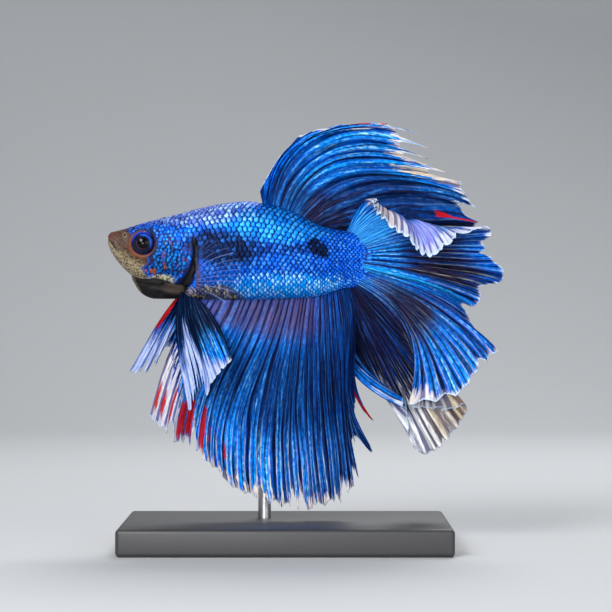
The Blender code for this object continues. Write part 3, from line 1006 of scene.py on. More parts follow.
# ---- Finish of the fins ----
@dataclass
class Weave:
    """What every zone of a fin reads, as wires.

    Share is the place along the ray as it is kept, far the distance from the ray's ridge, gap
    the dark membrane, mood a slow change of brightness, and the rest are noises of four sizes.
    """

    graph: Graph
    along: Wire
    share: Wire
    far: Wire
    gap: Wire
    mood: Wire
    fibre: Wire
    fine: Wire
    blot: Wire
    grain: Wire
    marks: dict

    @property
    def dusk(self) -> Wire:
        """Return the mark of dark colour and painted shade."""
        return self.marks[DUSK]


@dataclass(frozen=True)
class FinFinish:
    """One finish for rayed fins: blue rays with painted sheen and crest highlights, dark membrane,
    pale tips and coloured zones.

    Gap holds where the membrane starts and is full, across half a ray.  Wander is how far rays
    stray, threads how many fibres a ray has, streak and grit how much fibres and grain roughen
    the pale tips, calm how little of that is left where they are full, and soft how soft they
    end.  Fork, line, rim and veins are the strengths of the dark fork lines, the light lines
    beside the membrane, the pale margin and the thin veins in dark and shaded places.  Ridge is
    the width of the painted highlight on a ray's crest, chalk colours the pale tips, the furrow
    colour paints shade in their creases, and clear makes the fin see-through.
    """

    name: str
    gap: tuple = (0.62, 0.86)
    wander: float = 0.5
    threads: float = 1.0
    streak: float = 0.45
    fork: float = 0.8
    line: float = 0.5
    rim: float = 0.6
    veins: float = 0.0
    grit: float = 0.45
    soft: float = 0.0
    calm: float = 0.0
    ridge: float = 0.75
    chalk: tuple = TINT.white
    # Painted shade colour for the creases of the pale tips.
    furrow_shade: tuple = (0.07, 0.09, 0.28)
    clear: float = 0.0
    roughness: float = 0.38
    gloss: float = 0.04
    ink: tuple = (0.0, 0.007, 0.055)
    moody: tuple = (0.0, 0.022, 0.22)
    blotch: tuple = (0.0, 0.020, 0.20)
    teal: tuple = (0.0, 0.25, 0.62)
    aqua: tuple = (0.02, 0.45, 0.90)
    mauve: tuple = (0.150, 0.062, 0.078)
    coal: tuple = (0.0005, 0.002, 0.012)
    seam: tuple = (0.30, 0.18, 0.15)
    seam_tip: tuple = (0.60, 0.50, 0.38)
    seam_blue: tuple = (0.05, 0.42, 1.0)
    vein: tuple = (0.26, 0.32, 0.24)
    # Brighter whites, painted light for the ruffles that lie in shadow.
    snow: tuple = (0.92, 0.94, 0.97)
    butter: tuple = (0.92, 0.78, 0.52)
    # Painted shade colours for the creases of the brightened whites and of the cream tips.
    slate_shade: tuple = (0.15, 0.17, 0.27)
    hazel_shade: tuple = (0.26, 0.16, 0.10)
    blood: tuple = (0.06, 0.002, 0.010)
    margin: tuple = (0.52, 0.72, 0.92)
    flesh: tuple = (0.16, 0.09, 0.06)
    glass: tuple = (0.03, 0.10, 0.40)
    glass_ray: tuple = (0.34, 0.36, 0.62)

    def make(self) -> Any:
        """Make the material.

        Returns:
            The material.
        """
        graph = Graph(self.name)
        weave = self.weave(graph)
        colour, gap = self.paint_rays(weave)
        colour = self.paint_dusk(weave, colour)
        colour, pale = self.paint_tips(weave, colour)
        colour = self.paint_margin(weave, colour)
        graph.relief((1.0 - gap) * 0.6 + weave.fine * 0.3 + weave.grain * 0.25, 0.00009, 0.9)
        if self.clear > 0:
            colour = self.paint_clear(weave)
        return graph.finish(Base_Color=colour, Roughness=weave.grain * 0.2 + self.roughness,
                            Metallic=((1.0 - pale) * 0.5).clip(),
                            Specular_IOR_Level=self.gloss)

    def weave(self, graph: Graph) -> Weave:
        """Lay out rays, fibres and grain over the fin.

        Args:
            graph: The graph to add to.

        Returns:
            What every zone reads.
        """
        phase, along = graph.value("phase"), graph.value("along")
        reach = along * graph.value("length")
        drift = graph.strands(phase * 0.7, reach * 0.06, 1.5, 1.0, 0.55)
        ray = phase + (drift - 0.5) * self.wander
        far = (ray.math("FRACT") - 0.5).math("ABSOLUTE") * 2.0
        fibre = graph.strands(ray * (2.4 * self.threads), reach * 0.09, 0.0).step(0.36, 0.64)
        fine = graph.strands(ray * (6.5 * self.threads), reach * 0.4, 4.0,
                             roughness=0.7).step(0.38, 0.62)
        blot = graph.strands(ray * (2.6 * self.threads), reach * 1.1, 6.0).step(0.36, 0.64)
        mood = graph.strands(ray * 0.8, reach * 0.05, 9.0).step(0.38, 0.62)
        grain = graph.noise(graph.place()[2], 3400.0, 3.0, 0.7).step(0.34, 0.66)
        strong = graph.strands(phase * 0.9, reach * 0.04, 14.0, 1.0, 0.55).step(0.34, 0.58)
        fork = (1.0 - far.step(0.03, 0.22)) * along.step(0.35, 0.62) * self.fork
        gap = (far + (fibre - 0.5) * 0.35 + (blot - 0.5) * 0.15).step(*self.gap)
        gap = (gap * (strong * 0.6 + 0.4)).most(fork)
        return Weave(graph, along, graph.value("share"), far, gap, mood, fibre, fine, blot,
                     grain, {mark: graph.value(mark.value) for mark in Mark})

    def paint_rays(self, w: Weave) -> tuple:
        """Return the blue of the rays, with painted sheen and highlights on their crests, and the
        dark membrane between them, and the membrane.

        Args:
            w: The fin's weave.

        Returns:
            The colour and the share of the membrane.
        """
        graph, violet = w.graph, w.marks[VIOLET]
        # Painted sheen: this mark turns the rays toward cyan and also paints glints and broad
        # crest highlights.
        flash = w.marks[FLASH].least(1.2)
        blue = graph.mix((w.fine * 0.4 + w.grain * 0.4 + w.blot * 0.5 - 0.3).clip(), TINT.royal,
                         TINT.azure)
        shiny = (flash * (w.fibre * 0.6 + w.blot * 0.45 + w.grain * 0.3 - 0.25)).clip()
        # Painted highlight along each ray's crest.
        crest_highlight = (1.0 - w.far.step(0.05, self.ridge)) * (w.blot * 0.6 + 0.5) * flash.clip()
        blue = graph.mix(shiny.most((crest_highlight * 0.75).clip()), blue, TINT.cyan)
        # Painted glints of ice on the brightest fibres.
        glint = (w.fibre * (w.fine * 0.5 + w.blot * 0.5)).step(0.35, 0.85) * (flash - 0.2).clip()
        blue = graph.mix(glint * 0.8, blue, TINT.ice)
        blue = graph.mix(w.mood * 0.75 * (1.15 - flash * 0.5), blue, self.moody)
        blue = graph.mix((1.0 - w.blot) * 0.35, blue, self.blotch)
        deep = graph.mix(w.fine, TINT.navy, self.ink)
        blue = graph.mix((w.fibre.step(0.5, 0.0) * 0.55 * (1.2 - flash)).clip(), blue, deep)
        # Painted highlight: a broad teal line on the crest of a fold, where the sheen mark passes
        # 1.6.
        crown = ((w.marks[FLASH] - 1.6) * 3.0).clip() * (w.blot * 0.5 + 0.5)
        blue = graph.mix(crown * 0.8, blue, graph.mix(w.fine, self.teal, self.aqua))
        blue = graph.mix(violet * 0.85, blue, graph.mix(w.fine, TINT.violet, TINT.lilac))
        mauve = (1.0 - w.share.step(0.08, 0.32)) * w.marks[WARM].step(0.3, 1.0)
        blue = graph.mix(mauve * (w.fibre * 0.4 + w.fine * 0.35 + 0.1), blue, self.mauve)
        gap = w.gap.most(mauve * w.far.step(0.45, 0.75) * 0.95)
        solid = (violet * 0.55).most(crown * 0.75)
        return graph.mix(gap * (1.0 - solid), blue, deep), gap

    def paint_dusk(self, w: Weave, colour: Wire) -> Wire:
        """Return the colour with its dark zones and painted shade, light lines and veins.

        Args:
            w: The fin's weave.
            colour: The colour so far.

        Returns:
            The colour.
        """
        graph = w.graph
        # Dark colour and painted shade: coal and plum where this mark is high.
        shade = graph.mix((w.fine * w.marks[WARM]).clip(), self.coal, TINT.plum)
        colour = graph.mix((w.dusk * (1.2 - w.fibre * 0.5)).clip() * 0.985, colour, shade)
        beside = w.far.step(0.44, 0.54) * (1.0 - w.far.step(0.58, 0.68)) * (w.fine * 0.8 + 0.2)
        outer = w.share.step(0.55, 0.9)
        seam = graph.mix(outer, self.seam, self.seam_tip)
        seam = graph.mix(w.marks[WARM], self.seam_blue, seam)
        lines = beside * (outer * 1.2 + 0.45) * self.line * (1.0 - w.dusk * 0.45)
        colour = graph.mix(lines.clip(), colour, seam)
        vein = beside * w.share.step(0.35, 0.6) * w.dusk.clip() * self.veins
        return graph.mix(vein, colour, self.vein)

    def paint_tips(self, w: Weave, colour: Wire) -> tuple:
        """Return the colour with its pale tips, painted shade in their creases and painted light
        on ruffles in shadow, and how pale it is.

        Args:
            w: The fin's weave.
            colour: The colour so far.

        Returns:
            The colour and the share of the pale tips.
        """
        graph, mark, cream = w.graph, w.marks[PALE], w.marks[CREAM]
        rough = (w.fibre - 0.5) * self.streak + (w.fine - 0.5) * self.grit
        pale = mark + rough * (1.0 - mark * self.calm)
        pale = pale.step(0.42 - self.soft, 0.72 + self.soft) * mark.step(0.02, 0.2)
        # Painted light: where the dark-and-shade mark is high on the pale tips, they turn whiter,
        # to lift the ruffles that lie in shadow.
        shadow_lift = w.dusk.clip() * mark.step(0.5, 1.0)
        white = graph.mix(shadow_lift, self.chalk, self.snow)
        butter = graph.mix(shadow_lift, TINT.cream, self.butter)
        light = graph.mix(cream * (w.fibre * 0.5 + 0.5), white, butter)
        # Painted shade: the colour of the creases in the pale tips.
        fold_shade = graph.mix(cream * 0.6, graph.mix(shadow_lift, self.furrow_shade, self.slate_shade), self.hazel_shade)
        # Painted shade in the ruffles' valleys and on the membrane between rays, with some grain.
        crease = (w.far.step(0.66, 0.9) * 0.9 + (1.0 - w.fine) * 0.45
                  + graph.value("valley") * 0.7).clip()
        return graph.mix(pale, colour, graph.mix(crease, light, fold_shade)), pale

    def paint_margin(self, w: Weave, colour: Wire) -> Wire:
        """Return the colour with its red marks and the pale line of the margin.

        Args:
            w: The fin's weave.
            colour: The colour so far.

        Returns:
            The colour.
        """
        red = (w.marks[RED] + (w.fine - 0.5) * 0.5).step(0.3, 0.6)
        blood = w.graph.mix((w.far.step(0.6, 0.95) * 0.5 + w.fine * 0.25).clip(), TINT.red,
                            self.blood)
        colour = w.graph.mix(red * 0.96, colour, blood)
        inward = (1.0 - w.share) * w.graph.value("length")
        rim = (1.0 - inward.step(0.10, 0.30)) * (w.fine * 0.4 + 0.6) * self.rim
        return w.graph.mix(rim * (1.0 - red), colour, self.margin)

    def paint_clear(self, w: Weave) -> Wire:
        """Return the colour of a see-through fin, and set how solid it is.

        Args:
            w: The fin's weave.

        Returns:
            The colour.
        """
        thread = w.far.step(0.80, 0.94) * (0.62 - w.along * 0.35)
        skin = w.graph.mix(w.share.step(0.0, 0.22), self.flesh, self.glass)
        solid = (1.0 - self.clear) + thread * self.clear * 0.8 + w.share.step(0.2, 0.0) * 0.3
        w.graph.finish(Alpha=solid.clip())
        return w.graph.mix(thread, skin, self.glass_ray)


# ---- Fins ----
def along_back(at: np.ndarray) -> np.ndarray:
    """Return where dorsal rays start, on the ridge of the back."""
    x = -4.3 + 11.3 * at
    return np.stack([x, x * 0, BODY.section(x)[0] - 0.25], 1)


def along_belly(at: np.ndarray) -> np.ndarray:
    """Return where anal rays start, on the keel of the belly."""
    x = -13.3 + 24.9 * at - 2.6 * (1 - at) ** 7
    return np.stack([x, x * 0, BODY.section(x)[1] + 0.3], 1)


def round_tail(at: np.ndarray) -> np.ndarray:
    """Return where caudal rays start, round the end of the tail root."""
    angle = np.radians(78.0 * (1 - 2 * at))
    return np.stack([10.4 + 2.7 * np.cos(angle), at * 0, 53.0 + 5.0 * np.sin(angle)], 1)


def under_throat(at: np.ndarray) -> np.ndarray:
    """Return where pelvic rays start, on the fish's right side."""
    x = -19.2 + 3.0 * at
    return np.stack([x, x * 0 + 1.4, BODY.section(x)[1] + 0.3], 1)


def behind_gill(at: np.ndarray) -> np.ndarray:
    """Return where pectoral rays start, on the fish's right side.

    Args:
        at: Shares of the root, 0 at the top.

    Returns:
        One point for each share.
    """
    z = 52.6 - 5.0 * at
    x = np.full_like(z, -16.4)
    back, belly, widest, half = BODY.section(x)
    reach = np.where(z > widest, back - widest, widest - belly)
    return np.stack([x, half * np.sqrt(1 - ((z - widest) / reach) ** 2) - 0.1, z], 1)


@dataclass
class Fan:
    """One rayed fin.

    A row of rays holds: share of the root, tip x and z, leaving and arriving directions,
    how long each is kept, y of the ray's belly and of its tip, and the depth of the notches.
    A row of marks holds: share of the root, and the amount of each mark there, in the order of
    Mark.  A row of hems holds: share of the root, height of the ruffles, sharpness of the tips
    and depth of the forks.  A row of dense holds: share of the root and how closely rays stand
    there.  A row of cuts holds: share of the root, half width and depth of a bay in the margin.
    A spot holds: the mark it adds to, share of the root, half width, place along the ray, half
    length and amount.

    Count is the number of rays, split the tips of each, steps and rows the fineness of the
    mesh.  Even spreads rays by the fin's width, uneven shortens some, smooth is the share of
    shallow notches, and seed decides which.  Pleat is the height of the rays, folds how many
    ruffles each has, and mirror is -1 for the left side's fin.
    """

    name: str
    root: Callable
    rays: tuple
    marks: tuple
    count: int
    rows: int
    finish: FinFinish
    spots: tuple = ()
    hems: tuple = ((0.0, 0.0, 2.2, 0.3), (1.0, 0.0, 2.2, 0.3))
    dense: tuple = ((0.0, 1.0), (1.0, 1.0))
    slot: str = "blue_fin"
    mirror: float = 1.0
    cuts: tuple = ()
    split: int = 2
    steps: int = 6
    even: float = 0.8
    uneven: float = 0.7
    smooth: float = 0.5
    pleat: float = 0.16
    folds: float = 1.4
    thick: float = 0.22
    seed: float = 1.0

    def surface(self, at: np.ndarray, along: np.ndarray) -> np.ndarray:
        """Return points on the fan, without its notches.

        Args:
            at: Shares of the root.
            along: Places along the rays, 1 at their full length.

        Returns:
            One point for each pair.
        """
        row = blend(self.rays, at)
        root = self.root(at)
        root[:, 1] *= self.mirror
        tip = np.stack([row[:, 0], row[:, 7] * self.mirror, row[:, 1]], 1)
        chord = np.hypot(tip[:, 0] - root[:, 0], tip[:, 2] - root[:, 2])[:, None]
        leave, arrive = np.radians(row[:, 2]), np.radians(row[:, 3])
        none = leave * 0
        first = root + np.stack([np.cos(leave), none, np.sin(leave)], 1) * chord * row[:, 4:5]
        second = tip - np.stack([np.cos(arrive), none, np.sin(arrive)], 1) * chord * row[:, 5:6]
        first[:, 1] = (root[:, 1] + row[:, 6] * self.mirror) / 2
        second[:, 1] = row[:, 6] * self.mirror
        u = along[:, None]
        r = 1 - u
        return root * r**3 + first * 3 * r**2 * u + second * 3 * r * u**2 + tip * u**3

    def ray_numbers(self) -> tuple:
        """Spread the rays by the fin's own width, each a little wider or narrower.

        Returns:
            Places along the root, and the ray number at each.
        """
        at = np.linspace(0, 1, 1601)
        middle = self.surface(at, np.full_like(at, 0.75))
        close = blend(self.dense, at[1:])[:, 0]
        run = np.linalg.norm(np.diff(middle, axis=0), axis=1) * close
        run = np.concatenate([[0], np.cumsum(run)])
        spread = self.even * run / run[-1] + (1 - self.even) * at
        width = 0.65 + 0.7 * lottery(np.arange(self.count), self.seed + 2)
        edges = np.concatenate([[0], np.cumsum(width)])
        return at, np.interp(spread, edges / edges[-1], np.arange(self.count + 1))

    def chord(self, at: np.ndarray) -> np.ndarray:
        """Measure the rays straight from root to tip, seen from the side.

        Args:
            at: Shares of the root.

        Returns:
            One length for each share.
        """
        row = blend(self.rays, at)
        root = self.root(at)
        return np.hypot(row[:, 0] - root[:, 0], row[:, 1] - root[:, 2])

    def margin(self, at: np.ndarray, number: np.ndarray) -> np.ndarray:
        """Return the share of each ray that is kept, with tips and notches.

        Args:
            at: Shares of the root.
            number: Ray numbers at the same places.

        Returns:
            The kept share of each ray.
        """
        tip = number * self.split
        whole = np.floor(tip - 1e-9)
        off = np.minimum(np.abs(tip - whole - 0.5) * 2, 1)
        near = np.round(tip)
        luck = lottery(near, self.seed)
        hems = blend(self.hems, at)
        fork = hems[:, 2]
        coarse = np.where(luck < self.smooth, 0.15 + 0.5 * luck, 0.7 + 0.6 * luck)
        deep = np.where(near % self.split == 0, coarse, fork * (0.3 + 1.2 * luck))
        depth = np.maximum(blend(self.rays, at)[:, 8], 0.05)
        sharp = hems[:, 1]
        notch = depth * deep * (1 - (1 - off) ** sharp)
        short = self.uneven * depth * (0.5 * lottery(np.floor(number) + 50, self.seed)
                                       + 0.2 * lottery(whole + 90, self.seed))
        cut = sum((inward * np.exp(-(((at - middle) / half) ** 4))
                   for middle, half, inward in self.cuts), 0 * at)
        return 1 - (notch + short + cut) / self.chord(at)

    def build(self) -> Any:
        """Build the fin as a thin solid and store what its finish reads.

        Returns:
            The fin, undressed.
        """
        steps = self.steps
        rows = self.rows
        piece = start(self.name, bpy.ops.mesh.primitive_grid_add, size=2,
                      x_subdivisions=self.count * self.split * steps, y_subdivisions=rows)
        flat = read_points(piece)
        number = np.clip((flat[:, 0] + 1) / 2, 0, 1) * self.count
        places, numbers = self.ray_numbers()
        at = np.interp(number, numbers, places)
        share = np.clip((flat[:, 1] + 1) / 2, 0, 1)
        along = share * self.margin(at, number)
        middle = self.surface(at, along)
        step = 0.002
        across = self.surface(np.clip(at + step, 0, 1), along)
        across -= self.surface(np.clip(at - step, 0, 1), along)
        down = self.surface(at, along + step) - self.surface(at, along - step)
        normal = np.cross(across, down)
        normal /= np.maximum(np.linalg.norm(normal, axis=1), 1e-9)[:, None]
        wave = np.cos(2 * np.pi * number)
        fork = smooth(along, 0.35, 0.6) * np.cos(4 * np.pi * number)
        hem = blend(self.hems, at)[:, 0] * smooth(along, 0.35, 1.0)
        turn = np.pi * self.folds * number + 4 * along + 1.5 * np.sin(1.7 * number)
        curl = 0.7 * np.sin(turn) + 0.4 * np.sin(1.7 * turn + 1.0)
        spread = smooth(along, 0.02, 0.4)
        lift = -self.pleat * spread * (wave + 0.5 * fork) + hem * curl
        write_points(piece, middle + normal * lift[:, None])
        self.store(piece, at, number, along, share)
        # Painted shade: how deep each point lies in a ruffle's valley, for the finish to darken.
        add_value(piece, "valley", np.clip(hem * (0.5 - 0.9 * curl), 0, 1))
        self.thicken(piece, wave, share)
        return piece

    def thicken(self, piece: Any, wave: np.ndarray, share: np.ndarray) -> None:
        """Give the fin its two sides, thick on the rays and thin between and at the tips.

        Args:
            piece: The flat fin.
            wave: Height of the pleats at each point, -1 on a ray.
            share: Place along the ray as it is kept.
        """
        group = piece.vertex_groups.new(name="ray")
        weight = 0.35 + 0.65 * smooth(-wave, -0.6, 0.8)
        weight *= 1 - 0.6 * smooth(share, 0.6, 1.0)
        for level in np.unique(np.round(weight, 1)):
            chosen = np.nonzero(np.round(weight, 1) == level)[0]
            group.add([int(i) for i in chosen], float(level), "REPLACE")
        solid = piece.modifiers.new("thickness", "SOLIDIFY")
        solid.thickness = self.thick * MM
        solid.offset = 0.0
        solid.vertex_group = "ray"
        solid.thickness_vertex_group = 0.2
        count = len(piece.data.polygons)
        apply_modifiers(piece)
        self.part_sides(piece, count)

    def store(self, piece: Any, at: np.ndarray, number: np.ndarray, along: np.ndarray,
              share: np.ndarray) -> None:
        """Store the unwrap and the marks on the mesh.

        Args:
            piece: The flat fin.
            at: Share of the root of each point.
            number: Ray number of each point.
            along: Place along the ray.
            share: Place along the ray as it is kept, 1 on the margin.
        """
        add_unwrap(piece, 0.01 + 0.48 * number / self.count, 0.01 + 0.98 * share)
        marks = {mark: column.copy() for mark, column in zip(Mark, blend(self.marks, at).T)}
        luck = lottery(np.floor(number * 2), self.seed + 3) - 0.5
        onset = 1 - marks[PALE] * (1 + 0.5 * luck)
        ramp = 0.07 + 0.24 * np.clip(marks[PALE] / 0.34, 0, 1)
        marks[PALE] = np.clip((share - onset) / ramp + 0.5, 0, 1) * (marks[PALE] > 0.004)
        for mark, middle, width, place, half, amount in self.spots:
            marks[mark] += (amount * np.exp(-(((at - middle) / width) ** 4))
                            * np.exp(-(((share - place) / half) ** 4)))
        for mark, amounts in marks.items():
            add_value(piece, mark.value, np.clip(amounts, 0, 2.0 if mark is FLASH else 1.2))
        add_value(piece, "length", self.chord(at))
        add_value(piece, "phase", number + 40 * self.seed)
        add_value(piece, "along", along)
        add_value(piece, "share", share)

    @staticmethod
    def part_sides(piece: Any, count: int) -> None:
        """Move the unwrap of the far side beside that of the near side.

        Args:
            piece: The fin with both sides.
            count: How many faces one side has.
        """
        layer = piece.data.uv_layers["OFBake"]
        flat = np.empty(len(piece.data.loops) * 2)
        layer.data.foreach_get("uv", flat)
        first = piece.data.polygons[count].loop_start
        stop = piece.data.polygons[min(2 * count, len(piece.data.polygons) - 1)].loop_start
        pairs = flat.reshape(-1, 2)
        pairs[first:stop, 0] += 0.5
        layer.data.foreach_set("uv", flat)


DORSAL_FINISH = FinFinish("dorsal_fin_rays", gap=(0.50, 0.95), wander=0.9, line=0.25,
                          threads=1.7, streak=0.8, grit=1.1)
ANAL_FINISH = FinFinish("anal_fin_rays", gap=(0.50, 0.90), wander=0.8, line=0.62,
                        threads=1.5, streak=0.9, grit=0.9, ridge=0.45, calm=0.55)
TAIL_FINISH = FinFinish("caudal_fin_rays", gap=(0.56, 0.90), line=0.30, rim=0.75,
                        threads=1.5, streak=0.25, grit=0.3, soft=0.12, veins=0.6)
PELVIC_FINISH = FinFinish("pelvic_fin_rays", gap=(0.6, 0.9), line=0.25, threads=1.4,
                          streak=0.45, soft=0.33, rim=0.5, furrow_shade=(0.10, 0.17, 0.42),
                          chalk=(0.40, 0.47, 0.72))
CLEAR_FINISH = FinFinish("pectoral_fin_rays", clear=0.965, rim=0.0, line=0.2)

DORSAL = Fan(
    "dorsal_fin_rays", along_back,
    ((0.00, -4.8, 65.8, 96, 100, 0.30, 0.30, 0.0, 0.0, 0.1),
     (0.03, -3.7, 67.9, 94, 84, 0.30, 0.30, 0.1, 0.1, 0.1),
     (0.06, -0.4, 73.0, 86, 56, 0.35, 0.35, 0.2, 0.2, 0.1),
     (0.075, 2.5, 75.2, 86, 38, 0.38, 0.38, 0.3, 0.3, 0.1),
     (0.09, 6.4, 77.1, 86, 20, 0.40, 0.40, 0.4, 0.4, 0.2),
     (0.13, 22.9, 76.9, 86, -14, 0.42, 0.50, 0.6, 0.8, 3.4),
     (0.26, 26.9, 72.9, 80, -22, 0.40, 0.50, 0.2, 1.6, 4.2),
     (0.39, 27.2, 70.2, 75, -22, 0.38, 0.50, -0.6, 0.6, 3.2),
     (0.54, 33.4, 66.9, 62, -10, 0.36, 0.50, -0.2, -0.6, 3.2),
     (0.69, 34.9, 64.3, 46, -24, 0.34, 0.50, 0.8, 0.8, 3.2),
     (0.85, 36.5, 61.2, 26, -24, 0.34, 0.50, 1.4, 2.0, 2.6),
     (1.00, 35.4, 58.9, -12, -5, 0.34, 0.50, 1.8, 2.8, 0.8)),
    ((0.00, 0.00, 0.0, 0.0, 0.30, 0.0, 0.0, 0.0),
     (0.08, 0.03, 0.4, 0.0, 0.00, 0.0, 0.3, 0.0),
     (0.13, 0.05, 0.8, 0.0, 0.00, 0.0, 0.9, 0.3),
     (0.26, 0.03, 0.6, 0.0, 0.00, 0.0, 1.1, 0.2),
     (0.38, 0.07, 0.8, 0.0, 0.05, 0.0, 1.1, 0.3),
     (0.50, 0.17, 0.9, 0.0, 0.15, 0.0, 0.9, 0.4),
     (0.60, 0.14, 0.9, 0.0, 0.35, 0.0, 0.7, 0.4),
     (0.69, 0.03, 0.3, 0.0, 0.60, 0.0, 0.6, 0.5),
     (0.85, 0.005, 0.1, 0.0, 0.75, 0.0, 0.4, 0.4),
     (1.00, 0.00, 0.0, 0.0, 0.70, 0.0, 0.0, 0.2)),
    count=14, rows=84, finish=DORSAL_FINISH, pleat=0.34, split=1, steps=18, seed=2.0,
    uneven=0.5, hems=((0.0, 0.0, 4.6, 0.1), (0.5, 0.15, 5.0, 0.2), (1.0, 0.1, 4.0, 0.15)),
    dense=((0.0, 0.6), (0.10, 0.7), (0.14, 1.9), (0.45, 1.6), (0.6, 1.0), (1.0, 1.0)),
    spots=((RED, 0.1455, 0.009, 0.875, 0.05, 1.2), (PALE, 0.142, 0.005, 0.74, 0.06, 0.5),
           (RED, 0.150, 0.006, 0.985, 0.02, 0.6), (RED, 0.938, 0.007, 0.91, 0.09, 1.1),
           (RED, 0.930, 0.016, 0.83, 0.035, 0.9),
           (PALE, 0.085, 0.03, 1.0, 0.035, 0.8), (DUSK, 0.55, 0.5, 0.10, 0.12, 0.5),
           (DUSK, 0.14, 0.24, 0.16, 0.20, 0.3),
           (PALE, 0.125, 0.012, 0.98, 0.06, 0.8), (FLASH, 0.15, 0.22, 0.22, 0.24, -0.75),
           (PALE, 0.30, 0.25, 0.99, 0.02, 0.3),
           (FLASH, 0.62, 0.16, 0.85, 0.14, 0.8), (DUSK, 0.62, 0.16, 0.85, 0.14, -0.6),
           (FLASH, 0.28, 0.16, 0.36, 0.20, 0.4), (FLASH, 0.24, 0.14, 0.75, 0.12, 0.3)))

ANAL = Fan(
    "anal_fin_rays", along_belly,
    ((0.00, -25.0, 24.1, -126, -104, 0.36, 0.40, -0.4, -1.2, 0.4),
     (0.05, -23.6, 21.5, -120, -100, 0.34, 0.42, -0.7, -2.0, 1.8),
     (0.12, -21.2, 19.2, -116, -96, 0.33, 0.42, -0.6, -1.2, 2.4),
     (0.22, -18.3, 17.8, -110, -90, 0.34, 0.42, 0.2, 0.9, 2.8),
     (0.35, -13.9, 14.3, -108, -84, 0.34, 0.42, 0.8, 1.2, 2.4),
     (0.48, -8.9, 9.8, -105, -76, 0.34, 0.42, 0.4, -0.5, 2.3),
     (0.61, -1.5, 7.1, -101, -82, 0.34, 0.42, -0.5, -1.4, 2.2),
     (0.74, 5.9, 6.8, -96, -84, 0.34, 0.42, -0.7, -0.4, 2.3),
     (0.86, 11.6, 8.2, -86, -84, 0.36, 0.42, 0.0, 0.9, 2.8),
     (0.93, 13.6, 12.6, -80, -74, 0.38, 0.42, -0.4, 0.2, 1.8),
     (0.97, 16.3, 17.6, -74, -50, 0.38, 0.46, -0.8, -0.8, 0.8),
     (1.00, 16.3, 23.2, -68, -50, 0.40, 0.44, -1.0, -1.2, 0.3)),
    ((0.00, 0.50, 0.4, 0.0, 0.2, 0.0, 0.2, 0.2),
     (0.06, 0.46, 0.3, 0.0, 0.0, 0.0, 0.3, 0.3),
     (0.12, 0.24, 0.2, 0.0, 0.0, 0.0, 0.6, 0.2),
     (0.20, 0.04, 0.6, 0.0, 0.0, 0.0, 0.8, 0.1),
     (0.32, 0.03, 0.8, 0.0, 0.1, 0.0, 0.7, 0.1),
     (0.46, 0.02, 0.8, 0.0, 0.2, 0.0, 0.6, 0.1),
     (0.60, 0.02, 0.8, 0.0, 0.35, 0.0, 0.5, 0.1),
     (0.74, 0.015, 0.7, 0.0, 0.50, 0.0, 0.3, 0.1),
     (0.86, 0.01, 0.5, 0.0, 0.72, 0.0, 0.1, 0.1),
     (1.00, 0.0, 0.3, 0.0, 0.72, 0.0, 0.0, 0.1)),
    count=33, rows=92, finish=ANAL_FINISH, pleat=0.20, split=1, steps=10, seed=6.9,
    smooth=0.6, uneven=0.7,
    hems=((0.0, 0.25, 1.6, 0.4), (0.2, 0.15, 1.4, 0.35), (0.8, 0.1, 1.5, 0.4),
          (0.92, 0.1, 1.7, 0.5), (0.95, 0.1, 3.0, 0.6), (1.0, 0.1, 3.2, 0.6)),
    dense=((0.0, 1.0), (0.92, 1.0), (0.955, 2.2), (1.0, 2.2)),
    cuts=((0.948, 0.014, 4.4), (0.9842, 0.0110, 6.2)),
    spots=((RED, 0.012, 0.008, 0.84, 0.11, 0.8), (RED, 0.050, 0.010, 0.86, 0.09, 0.8),
           (RED, 0.095, 0.008, 0.84, 0.12, 0.8), (RED, 0.168, 0.022, 0.87, 0.11, 1.2),
           (RED, 0.220, 0.019, 0.87, 0.11, 1.2), (RED, 0.300, 0.015, 0.86, 0.12, 1.1),
           (RED, 0.345, 0.005, 0.86, 0.05, 0.8), (RED, 0.445, 0.005, 0.86, 0.04, 0.8),
           (RED, 0.998, 0.008, 0.95, 0.05, 1.2),
           (DUSK, 0.36, 0.30, 0.10, 0.12, 0.30), (WARM, 0.42, 0.40, 0.10, 0.13, 1.0),
           (VIOLET, 0.36, 0.30, 0.10, 0.12, 0.10),
           (DUSK, 0.50, 0.30, 0.46, 0.20, 0.35), (FLASH, 0.50, 0.45, 0.84, 0.16, 0.6),
           (DUSK, 0.50, 0.45, 0.86, 0.14, -0.3), (WARM, 0.45, 0.38, 0.90, 0.18, 0.9)))

